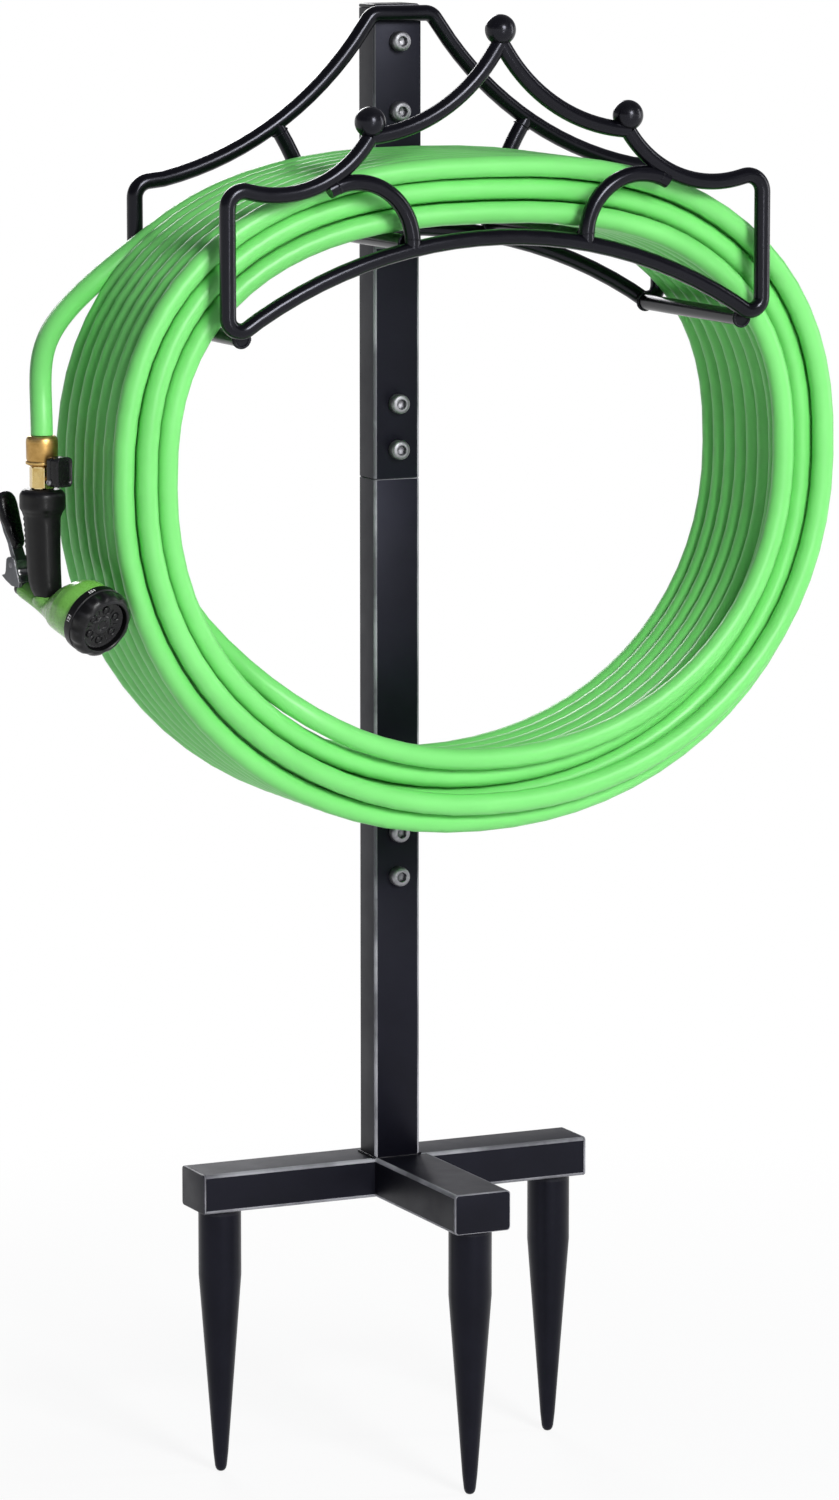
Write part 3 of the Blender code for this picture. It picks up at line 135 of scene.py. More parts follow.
def socket(sockets: Iterable, key: str | int) -> NodeSocket:
    """Return the socket in use that has a name, or the one with a number."""
    if isinstance(key, int):
        return list(sockets)[key]
    return next(item for item in sockets if item.name == key and item.enabled)


def add_node(tree: NodeTree, kind: str, values: dict | None = None, **settings) -> Node:
    """Add a node with its settings, and fill or link its inputs.

    Args:
        tree: Tree that takes the node.
        kind: Node type.
        values: Input name or number to a value or an output socket.
        **settings: Properties of the node.

    Returns:
        The new node.
    """
    node = tree.nodes.new(kind)
    for name, value in settings.items():
        setattr(node, name, value)
    for key, value in (values or {}).items():
        if isinstance(value, NodeSocket):
            tree.links.new(value, socket(node.inputs, key))
        else:
            socket(node.inputs, key).default_value = value
    return node


def calc(tree: NodeTree, operation: str, *values) -> NodeSocket:
    """Add a Math node on one or two values and return its result."""
    return add_node(tree, "ShaderNodeMath", dict(enumerate(values)), operation=operation).outputs[0]


def mapped(tree: NodeTree, value: NodeSocket, low: float, high: float,
           start: float = 0.0, end: float = 1.0) -> NodeSocket:
    """Map the range from low to high onto the one from start to end, held at both ends."""
    values = {"Value": value, "From Min": low, "From Max": high, "To Min": start, "To Max": end}
    return add_node(tree, "ShaderNodeMapRange", values).outputs[0]


def blended(tree: NodeTree, share, first, second) -> NodeSocket:
    """Mix two colours by a share of the second."""
    node = add_node(tree, "ShaderNodeMix", {"Factor": share, "A": first, "B": second},
                    data_type="RGBA")
    return socket(node.outputs, "Result")


def noted(tree: NodeTree, name: str) -> NodeSocket:
    """Read an attribute of the mesh as a number."""
    return add_node(tree, "ShaderNodeAttribute", attribute_name=name).outputs["Fac"]


@dataclass(frozen=True)
class Finish:
    """A real surface: its colours, gloss, mottling and grain.

    The mottling changes tone over palm-sized patches, and the grain is the surface's own relief.
    """

    name: str
    colour: str
    second_colour: str
    roughness: float
    roughness_spread: float
    mottling_mm: float
    grain_mm: float
    grain_depth_mm: float
    metallic: float = 0.0
    coat: float = 0.0
    coat_roughness: float = 0.1
    specular: float = 0.5
    tint: str = "#ffffff"
    # Pale edge mark: its colour, strength, patch size and least share. It is rubbed paint, and on
    # the gloss steel also a painted edge highlight.
    worn_and_highlight_colour: str = "#8b8a8c"
    wear_and_highlight: float = 0.0
    wear_and_highlight_mm: float = 7.0
    wear_and_highlight_floor: float = 0.4

    def place(self, tree: NodeTree) -> NodeSocket:
        """Return the coordinates that the patterns are laid on."""
        return add_node(tree, "ShaderNodeTexCoord").outputs["Object"]

    def noise(self, tree: NodeTree, place: NodeSocket, size_mm: float,
              detail: float = 3.0) -> NodeSocket:
        """Add cloudy noise of a real size.

        Args:
            tree: Material's node tree.
            place: Coordinates in metres.
            size_mm: Width of one cloud.
            detail: Octaves of finer noise on it.

        Returns:
            The noise's value.
        """
        values = {"Vector": place, "Scale": 1000 / size_mm, "Detail": detail, "Roughness": 0.55}
        return add_node(tree, "ShaderNodeTexNoise", values).outputs["Fac"]

    def colours(self, tree: NodeTree, place: NodeSocket) -> NodeSocket:
        """Mix both tones by the mottling, and pale the marked edges: rubbed paint, and on the gloss
        steel also a painted edge highlight.
        """
        clouds = mapped(tree, self.noise(tree, place, self.mottling_mm), 0.35, 0.65)
        tones = blended(tree, clouds, linear(self.colour), linear(self.second_colour))
        if self.wear_and_highlight == 0:
            return tones
        patches = mapped(tree, self.noise(tree, place, self.wear_and_highlight_mm, 5.0), 0.42, 0.60,
                         self.wear_and_highlight_floor)
        pale_edges = calc(tree, "MULTIPLY", noted(tree, WEAR_AND_HIGHLIGHT), patches)
        share = calc(tree, "MULTIPLY", pale_edges, self.wear_and_highlight)
        return blended(tree, share, tones, linear(self.worn_and_highlight_colour))

    def gloss(self, tree: NodeTree, place: NodeSocket) -> NodeSocket:
        """Vary the roughness in smears."""
        smears = self.noise(tree, place, self.mottling_mm * SMEAR_SHARE, 4.0)
        return mapped(tree, smears, 0.3, 0.7, self.roughness - self.roughness_spread,
                      self.roughness + self.roughness_spread)

    def relief(self, tree: NodeTree, place: NodeSocket) -> NodeSocket:
        """Return the height of the grain, from zero to one."""
        return self.noise(tree, place, self.grain_mm, 2.0)

    def extra(self, shader: Node) -> None:
        """Set what only this finish needs on the shader."""

    def build(self) -> Material:
        """Make the material.

        Returns:
            The new material.
        """
        material = bpy.data.materials.new(self.name)
        material.use_nodes = True
        tree = material.node_tree
        tree.nodes.clear()
        place = self.place(tree)
        bump = add_node(tree, "ShaderNodeBump",
                        {"Height": self.relief(tree, place), "Strength": 1.0,
                         "Distance": self.grain_depth_mm * MM})
        shader = add_node(tree, "ShaderNodeBsdfPrincipled",
                          {"Base Color": self.colours(tree, place),
                           "Roughness": self.gloss(tree, place),
                           "Metallic": self.metallic, "Coat Weight": self.coat,
                           "Specular IOR Level": self.specular, "Specular Tint": linear(self.tint),
                           "Coat Roughness": self.coat_roughness, "Normal": bump.outputs["Normal"]})
        self.extra(shader)
        add_node(tree, "ShaderNodeOutputMaterial", {"Surface": shader.outputs[0]})
        material.diffuse_color = linear(self.colour)
        return material


@dataclass(frozen=True)
class GlossPaint(Finish):
    """Gloss paint on steel: deep black with a slight orange peel, pale on its edges from rubbing
    and from a painted edge highlight.
    """

    nib_share: float = 0.28
    nib_height: float = 0.5

    def relief(self, tree: NodeTree, place: NodeSocket) -> NodeSocket:
        """Lay a wide soft orange peel under a few finer dust nibs."""
        peel = self.noise(tree, place, self.grain_mm, 1.0)
        nibs = self.noise(tree, place, self.grain_mm * self.nib_share, 0.0)
        return calc(tree, "ADD", peel, mapped(tree, nibs, 0.68, 0.78, 0.0, self.nib_height))


@dataclass(frozen=True)
class HosePvc(Finish):
    """Extruded PVC garden hose: smooth, bright, with faint die lines along it."""

    strand_radius: float = 0.0085
    stretch: Point = (1.0, 1.0, 0.03)
    scatter: float = 0.06
    scatter_depth: float = 0.002
    scatter_colour: Point = (0.25, 1.0, 0.25)

    def place(self, tree: NodeTree) -> NodeSocket:
        """Lay the patterns on the strand: along it, and round it as a closed ring."""
        turn = noted(tree, AROUND)
        x, y = (calc(tree, "MULTIPLY", calc(tree, kind, turn), self.strand_radius)
                for kind in ("SINE", "COSINE"))
        return add_node(tree, "ShaderNodeCombineXYZ",
                        {"X": x, "Y": y, "Z": noted(tree, ALONG)}).outputs[0]

    def relief(self, tree: NodeTree, place: NodeSocket) -> NodeSocket:
        """Stretch fine noise along the strand into die lines."""
        drawn = add_node(tree, "ShaderNodeMapping", {"Vector": place, "Scale": self.stretch})
        return self.noise(tree, drawn.outputs[0], self.grain_mm, 2.0)

    def extra(self, shader: Node) -> None:
        """Let a little light into the soft plastic."""
        shader.inputs["Subsurface Weight"].default_value = self.scatter
        shader.inputs["Subsurface Radius"].default_value = self.scatter_colour
        shader.inputs["Subsurface Scale"].default_value = self.scatter_depth


@dataclass(frozen=True)
class TurnedMetal(Finish):
    """Metal from a lathe: fine rings round the axis that break up the highlight."""

    ring_mm: float = 0.7
    grain_share: float = 0.3

    def relief(self, tree: NodeTree, place: NodeSocket) -> NodeSocket:
        """Draw the lathe's rings along the axis, wider than real so that they show."""
        rings = add_node(tree, "ShaderNodeTexNoise",
                         {"W": noted(tree, AXIAL), "Scale": 1000 / self.ring_mm, "Detail": 2.0},
                         noise_dimensions="1D").outputs["Fac"]
        grain = self.noise(tree, place, self.grain_mm, 2.0)
        return add_node(tree, "ShaderNodeMix",
                        {"Factor": self.grain_share, "A": rings, "B": grain}).outputs["Result"]


class Finishes:
    """The finishes of the stand, the hose and the nozzle, each made once."""

    def __init__(self) -> None:
        """Make every material."""
        # Thick stoved gloss on flat tube: near black, a soft violet sheen, pale edges that are
        # partly rubbed paint and partly a painted edge highlight.
        self.steel = GlossPaint("gloss_black_stoved_paint_on_steel", "#09090f", "#0f0f17",
                                0.42, 0.05, 85, 2.4, 0.016, specular=0.20, tint="#e4e6ff",
                                worn_and_highlight_colour="#bdbdc3", wear_and_highlight=0.6, wear_and_highlight_mm=60).build()
        # Dipped enamel pulls tight on a thin rod: a crisp narrow highlight along each bend.
        self.rod = GlossPaint("gloss_black_dipped_paint_on_rod", "#050508", "#09090e", 0.23, 0.05,
                              60, 2.0, 0.006, specular=0.27, tint="#eeefff", wear_and_highlight=0.05).build()
        # The same enamel sanded by soil: the highlight spreads down the taper.
        self.stake = GlossPaint("satin_black_dipped_paint_on_stake", "#08080d", "#0f0f16",
                                0.34, 0.05, 60, 2.2, 0.008, specular=0.18, tint="#e1e3ff",
                                wear_and_highlight=0.05).build()
        # Spark-eroded mould surface: satin black, with no clear reflection.
        self.polymer = Finish("spark_textured_black_nylon", "#09090a", "#0f0f10", 0.36, 0.06,
                              22, 0.9, 0.03, specular=0.22, worn_and_highlight_colour="#3a3a3d", wear_and_highlight=0.3,
                              wear_and_highlight_mm=4).build()
        # Polished mould: small sharp glints on flat black faces.
        self.knob = Finish("moulded_black_acetal", "#09090a", "#0f0f11", 0.26, 0.05,
                           12, 0.8, 0.012, specular=0.24, worn_and_highlight_colour="#3a3a3c", wear_and_highlight=0.2,
                           wear_and_highlight_mm=3).build()
        # Soft moulded plastic: satin, a little greyer than the paint.
        self.cap = Finish("moulded_black_polyethylene", "#0c0c0e", "#131316", 0.34, 0.06,
                          18, 0.9, 0.02, specular=0.22, worn_and_highlight_colour="#3a3a3d", wear_and_highlight=0.25,
                          wear_and_highlight_mm=5).build()
        # Extruded soft PVC: clean green, a broad pale highlight along each strand.
        self.hose = HosePvc("extruded_green_pvc_hose", "#78d772", "#6fcd69", 0.40, 0.06,
                            160, 1.3, 0.03, specular=0.44).build()
        # Turned brass gone dull: brown gold with fine rings.
        self.brass = TurnedMetal("machined_brass_dulled", "#c19c5f", "#a9854b", 0.42, 0.07,
                                 9, 0.8, 0.014, metallic=1.0, worn_and_highlight_colour="#d9bd7c", wear_and_highlight=0.8,
                                 wear_and_highlight_mm=4).build()
        # Fresh turned brass: pale gold, brighter than the nut above it.
        self.bright_brass = TurnedMetal("machined_brass_bright", "#d3bb80", "#bfa263", 0.24, 0.05,
                                        9, 0.8, 0.010, metallic=1.0, worn_and_highlight_colour="#efdfae",
                                        wear_and_highlight=0.7, wear_and_highlight_mm=4).build()
        # Bright zinc dulled outdoors: mid grey, glinting on the rims.
        self.zinc = TurnedMetal("bright_zinc_plate_on_steel", "#88888c", "#727276", 0.52, 0.06,
                                7, 0.7, 0.012, metallic=1.0, worn_and_highlight_colour="#b4b4b8", wear_and_highlight=0.4,
                                wear_and_highlight_mm=3).build()
        # Gloss-moulded ABS: yellower green than the hose, with one clear highlight.
        self.green = Finish("gloss_green_abs", "#7cc454", "#73ba4c", 0.28, 0.06,
                            26, 1.4, 0.012, coat=0.2, coat_roughness=0.12, worn_and_highlight_colour="#8fca6f",
                            wear_and_highlight=0.45, wear_and_highlight_mm=5).build()
        # Thin enamel on a casting: half metal, half paint, bare on the edges.
        self.grey = Finish("grey_enamel_on_cast_zinc", "#636568", "#545659", 0.38, 0.08,
                           11, 0.9, 0.03, metallic=0.55, worn_and_highlight_colour="#b5b6b8", wear_and_highlight=0.7,
                           wear_and_highlight_mm=3).build()
        # Pad-printed ink: flat white with no depth.
        self.ink = Finish("white_printing_ink_on_plastic", "#e4e4e2", "#d5d5d3", 0.5, 0.05,
                          6, 0.5, 0.01).build()


def arc(centre: FlatPoint, radius: float, start: float, end: float,
        step: float = 3.0) -> list[FlatPoint]:
    """Return points of an arc.

    Args:
        centre: Its centre, across and up.
        radius: Its radius.
        start: First angle in degrees.
        end: Last angle in degrees.
        step: Largest angle between two points.

    Returns:
        The points.
    """
    count = max(1, math.ceil(abs(end - start) / step))
    turns = [math.radians(start + (end - start) * index / count) for index in range(count + 1)]
    return [(centre[0] + radius * math.cos(turn),
             centre[1] + radius * math.sin(turn)) for turn in turns]


def fillet(before: FlatPoint, corner: FlatPoint, after: FlatPoint, radius: float,
           steps: int = 12) -> list[FlatPoint]:
    """Return the arc that rounds a corner between two straight runs.

    Args:
        before: A point on the first run.
        corner: The sharp corner.
        after: A point on the second run.
        radius: Radius of the bend.
        steps: Number of segments.

    Returns:
        The points of the bend.
    """
    middle = Vector(corner)
    to_before = (Vector(before) - middle).normalized()
    to_after = (Vector(after) - middle).normalized()
    half_angle = to_before.angle(to_after) / 2
    centre = middle + (to_before + to_after).normalized() * radius / math.sin(half_angle)
    first = middle + to_before * radius / math.tan(half_angle) - centre
    last = middle + to_after * radius / math.tan(half_angle) - centre
    sweep = first.angle(last)
    points = []
    for step in range(steps + 1):
        share = step / steps
        blend = first * math.sin((1 - share) * sweep) + last * math.sin(share * sweep)
        points.append(tuple(centre + blend / math.sin(sweep)))
    return points


def mirrored(points: Sequence[FlatPoint]) -> list[FlatPoint]:
    """Return points mirrored to the other side, in reverse order."""
    return [(-x, z) for x, z in reversed(points)]


def rounded_rectangle(width: float, depth: float, radius: float, steps: int = 8) -> list[FlatPoint]:
    """Return a rectangle with rounded corners, counterclockwise.

    Args:
        width: Size along the first axis.
        depth: Size along the second axis.
        radius: Corner radius.
        steps: Segments in a corner.

    Returns:
        The outline's points.
    """
    points: list[FlatPoint] = []
    for corner, (sign_x, sign_y) in enumerate(((1, 1), (-1, 1), (-1, -1), (1, -1))):
        centre = (sign_x * (width / 2 - radius), sign_y * (depth / 2 - radius))
        points += arc(centre, radius, 90 * corner, 90 * corner + 90, 90 / steps)
    return points


def hexagon(across_flats: float, count: int, turn: float = 0.0, sides: int = 6) -> list[FlatPoint]:
    """Return evenly turned points on a regular polygon's outline, by default a hexagon.

    Args:
        across_flats: Distance between two opposite flats.
        count: Number of points.
        turn: Angle in degrees of the first point and first corner.
        sides: Number of sides.

    Returns:
        The outline's points.
    """
    points = []
    for index in range(count):
        angle = 2 * math.pi * index / count
        inside = angle % (2 * math.pi / sides) - math.pi / sides
        reach = across_flats / 2 / math.cos(inside)
        place = angle + math.radians(turn)
        points.append((reach * math.cos(place), reach * math.sin(place)))
    return points


def circle(radius: float, count: int, turn: float = 0.0) -> list[FlatPoint]:
    """Return evenly turned points on a circle."""
    turns = [2 * math.pi * index / count + math.radians(turn) for index in range(count)]
    return [(radius * math.cos(angle), radius * math.sin(angle)) for angle in turns]


def lifted(outline: Sequence[FlatPoint], height: float, scale: float = 1.0,
           shift: FlatPoint = (0.0, 0.0)) -> list[Point]:
    """Place an outline at a height, scaled and shifted."""
    return [(x * scale + shift[0], y * scale + shift[1], height) for x, y in outline]


def mark_wear_and_highlight(builder: BMesh) -> None:
    """Mark rounded convex faces for pale edges, where paint and plating rub off first and where the
    gloss steel also gets a painted edge highlight, less so underneath.
    """
    layer = builder.loops.layers.float.new(WEAR_AND_HIGHLIGHT)
    for face in builder.faces:
        bend = sum(max(0.0, edge.calc_face_angle_signed(0.0)) * edge.calc_length()
                   for edge in face.edges)
        curvature = bend / max(face.calc_area(), LEAST_AREA)
        share = min(max((curvature - WEAR_AND_HIGHLIGHT_START) / (WEAR_AND_HIGHLIGHT_FULL - WEAR_AND_HIGHLIGHT_START), 0.0), 1.0)
        if face.normal.z < FACING_DOWN:
            share *= WEAR_AND_HIGHLIGHT_UNDERSIDE
        for corner in face.loops:
            corner[layer] = share


def finished(builder: BMesh, soften: float = 0.0, segments: int = 3,
             angle: float = 28.0) -> Mesh:
    """Close a built mesh: merge doubled points, turn faces outward, round edges, mark the pale
    edges of wear and painted edge highlight.

    Args:
        builder: Mesh under construction, freed here.
        soften: Width of the rounding on sharp edges.
        segments: Segments in that rounding.
        angle: Angle in degrees above which an edge is sharp.

    Returns:
        The mesh.
    """
    bmesh.ops.remove_doubles(builder, verts=builder.verts, dist=MERGE_DISTANCE)
    bmesh.ops.recalc_face_normals(builder, faces=builder.faces)
    if soften > 0:
        sharp = [edge for edge in builder.edges if edge.calc_face_angle(0.0) > math.radians(angle)]
        bmesh.ops.bevel(builder, geom=sharp, offset=soften, segments=segments, profile=0.5,
                        affect="EDGES", clamp_overlap=True)
    mark_wear_and_highlight(builder)
    mesh = bpy.data.meshes.new("built")
    builder.to_mesh(mesh)
    builder.free()
    return mesh


def skinned(rings: Sequence[Sequence[Point]], closed: bool = False) -> BMesh:
    """Skin rings of equal point counts, and fill open ends.

    Args:
        rings: Rings of points.
        closed: Whether the last ring joins the first.

    Returns:
        The mesh under construction.
    """
    builder = bmesh.new()
    loops = [[builder.verts.new(point) for point in ring] for ring in rings]
    pairs = list(zip(loops, loops[1:]))
    if closed:
        pairs.append((loops[-1], loops[0]))
    for lower, upper in pairs:
        count = len(lower)
        for index in range(count):
            follow = (index + 1) % count
            builder.faces.new((lower[index], lower[follow], upper[follow], upper[index]))
    if not closed:
        builder.faces.new(list(reversed(loops[0])))
        builder.faces.new(loops[-1])
    return builder


def turned(profile: Sequence[FlatPoint], segments: int = 64) -> Mesh:
    """Turn a profile of (radius, height) points about Z, as on a lathe.

    Args:
        profile: Profile from one pole to the other, or a closed ring that never reaches the axis.
        segments: Points in a circle.

    Returns:
        A mesh that keeps the distance along the axis in its "axial" attribute.
    """
    builder = bmesh.new()
    rows = []
    for radius, height in profile:
        if radius <= 0:
            rows.append([builder.verts.new((0, 0, height))])
        else:
            rows.append([builder.verts.new((x, y, height)) for x, y in circle(radius, segments)])
    for lower, upper in zip(rows, rows[1:]):
        for index in range(segments):
            follow = (index + 1) % segments
            corners = [lower[index % len(lower)], lower[follow % len(lower)],
                       upper[follow % len(upper)], upper[index % len(upper)]]
            unique = list(dict.fromkeys(corners))
            if len(unique) > 2:
                builder.faces.new(unique)
    return with_axial(finished(builder))


def note(mesh: Mesh, name: str, values: np.ndarray) -> None:
    """Keep a number on each point of a mesh."""
    mesh.attributes.new(name, "FLOAT", "POINT").data.foreach_set("value", values)


def with_axial(mesh: Mesh) -> Mesh:
    """Keep each point's height before it is placed, plus its radius, for lathe rings."""
    places = np.empty(len(mesh.vertices) * 3, dtype=np.float32)
    mesh.vertices.foreach_get("co", places)
    places = places.reshape(-1, 3)
    note(mesh, AXIAL, places[:, 2] + np.hypot(places[:, 0], places[:, 1]))
    return mesh


def placed(mesh: Mesh, matrix: Matrix) -> Mesh:
    """Move a mesh in place and return it."""
    mesh.transform(matrix)
    return mesh


def axis_matrix(origin: Sequence[float], axis: Sequence[float],
                side: Sequence[float] = (1, 0, 0)) -> Matrix:
    """Return a frame whose Z runs along an axis.

    Args:
        origin: Its place.
        axis: Direction of its Z.
        side: Direction that its X lies near.

    Returns:
        The frame as a matrix.
    """
    z_axis = Vector(axis).normalized()
    hint = Vector(side)
    if abs(hint.normalized().dot(z_axis)) > 0.99:
        hint = Vector((0, 0, 1))
    y_axis = z_axis.cross(hint).normalized()
    matrix = Matrix((y_axis.cross(z_axis), y_axis, z_axis)).transposed().to_4x4()
    matrix.translation = Vector(origin)
    return matrix


def joined(meshes: Sequence[Mesh]) -> Mesh:
    """Gather several meshes into one, with their attributes."""
    builder = bmesh.new()
    for mesh in meshes:
        builder.from_mesh(mesh)
    result = bpy.data.meshes.new("joined")
    builder.to_mesh(result)
    builder.free()
    return result


def linked(name: str, data: bpy.types.ID) -> Object:
    """Make an object of some data and link it to the scene."""
    item = bpy.data.objects.new(name, data)
    bpy.context.scene.collection.objects.link(item)
    return item


def show(name: str, mesh: Mesh, material: Material, body: Body,
         nodes: Sequence[str] = (), smooth_angle: float = SMOOTH_ANGLE) -> Object:
    """Link a finished mesh as a piece that rides on a body and stands for CAD nodes.

    Args:
        name: Name of the piece.
        mesh: Mesh that is already in its place.
        material: Its finish.
        body: Body that it rides on.
        nodes: CAD nodes that it replaces.
        smooth_angle: Angle in degrees above which an edge stays sharp.

    Returns:
        The new object.
    """
    mesh.name = name
    mesh.materials.clear()
    mesh.materials.append(material)
    mesh.shade_smooth()
    mesh.set_sharp_from_angle(angle=math.radians(smooth_angle))
    piece = linked(name, mesh)
    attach(piece, body.value)
    if nodes:
        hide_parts(*nodes)
    LOG.info("%s: %d faces on %s", name, len(mesh.polygons), body.value)
    return piece


def show_steel(name: str, mesh: Mesh, paint: Material, *nodes: str) -> None:
    """Link a painted steel piece of the stand, which stands for some CAD nodes."""
    show(name, mesh, paint, Body.STAND, nodes)


class PatternTree:
    """A Geometry Nodes tree with named inputs, run once on a carrier mesh."""

    def __init__(self, name: str) -> None:
        """Start a tree with a geometry input and output.

        Args:
            name: Name of the tree.
        """
        self.tree = bpy.data.node_groups.new(name, "GeometryNodeTree")
        self.values: dict[str, object] = {}
        interface = self.tree.interface
        interface.new_socket(name="Geometry", in_out="INPUT", socket_type="NodeSocketGeometry")
        interface.new_socket(name="Geometry", in_out="OUTPUT", socket_type="NodeSocketGeometry")
        self.source = self.tree.nodes.new("NodeGroupInput")
        self.sink = self.tree.nodes.new("NodeGroupOutput")

    def size(self, name: str, value: float | int | Object | Material) -> NodeSocket:
        """Add a named input.

        Args:
            name: What it sizes or supplies.
            value: Its value.

        Returns:
            The socket that gives it inside the tree.
        """
        kinds = {float: "NodeSocketFloat", int: "NodeSocketInt", Object: "NodeSocketObject",
                 Material: "NodeSocketMaterial"}
        kind = next(kinds[known] for known in kinds if isinstance(value, known))
        item = self.tree.interface.new_socket(name=name, in_out="INPUT", socket_type=kind)
        self.values[item.identifier] = value
        return next(out for out in self.source.outputs if out.identifier == item.identifier)

    def step(self, kind: str, values: dict | None = None, **settings) -> NodeSocket:
        """Add a node and return its first output in use."""
        node = add_node(self.tree, kind, values, **settings)
        return next(out for out in node.outputs if out.enabled)

    def form(self, source: NodeSocket) -> NodeSocket:
        """Return the geometry of an object."""
        info = add_node(self.tree, "GeometryNodeObjectInfo", {"Object": source})
        return socket(info.outputs, "Geometry")

    def curve(self) -> NodeSocket:
        """Return the carrier as a curve."""
        return self.step("GeometryNodeMeshToCurve", {"Mesh": self.source.outputs[0]})

    def end(self, geometry: NodeSocket, material: NodeSocket) -> None:
        """Realise the instances, give them their material and close the tree."""
        real = self.step("GeometryNodeRealizeInstances", {"Geometry": geometry})
        dressed = self.step("GeometryNodeSetMaterial", {"Geometry": real, "Material": material})
        self.tree.links.new(dressed, self.sink.inputs[0])

    def run(self, points: Sequence[Point], path: bool = False, closed: bool = False) -> Mesh:
        """Run the tree on points or on a path.

        Args:
            points: Points of the carrier.
            path: Whether edges join them in order.
            closed: Whether the last one joins the first.

        Returns:
            The plain mesh that comes out.
        """
        edges = [(index, index + 1) for index in range(len(points) - 1)] if path else []
        if closed:
            edges.append((len(points) - 1, 0))
        carrier = bpy.data.meshes.new("carrier")
        carrier.from_pydata([tuple(point) for point in points], edges, [])
        holder = linked("carrier", carrier)
        modifier = holder.modifiers.new("pattern", "NODES")
        modifier.node_group = self.tree
        for identifier, value in self.values.items():
            modifier[identifier] = value
        bpy.context.view_layer.update()
        depsgraph = bpy.context.evaluated_depsgraph_get()
        mesh = bpy.data.meshes.new_from_object(holder.evaluated_get(depsgraph))
        holder.modifiers.remove(modifier)
        bpy.data.objects.remove(holder, do_unlink=True)
        return mesh


@dataclass
class Maker:
    """Something that makes pieces of the model and dresses them with the shared finishes."""

    finishes: Finishes


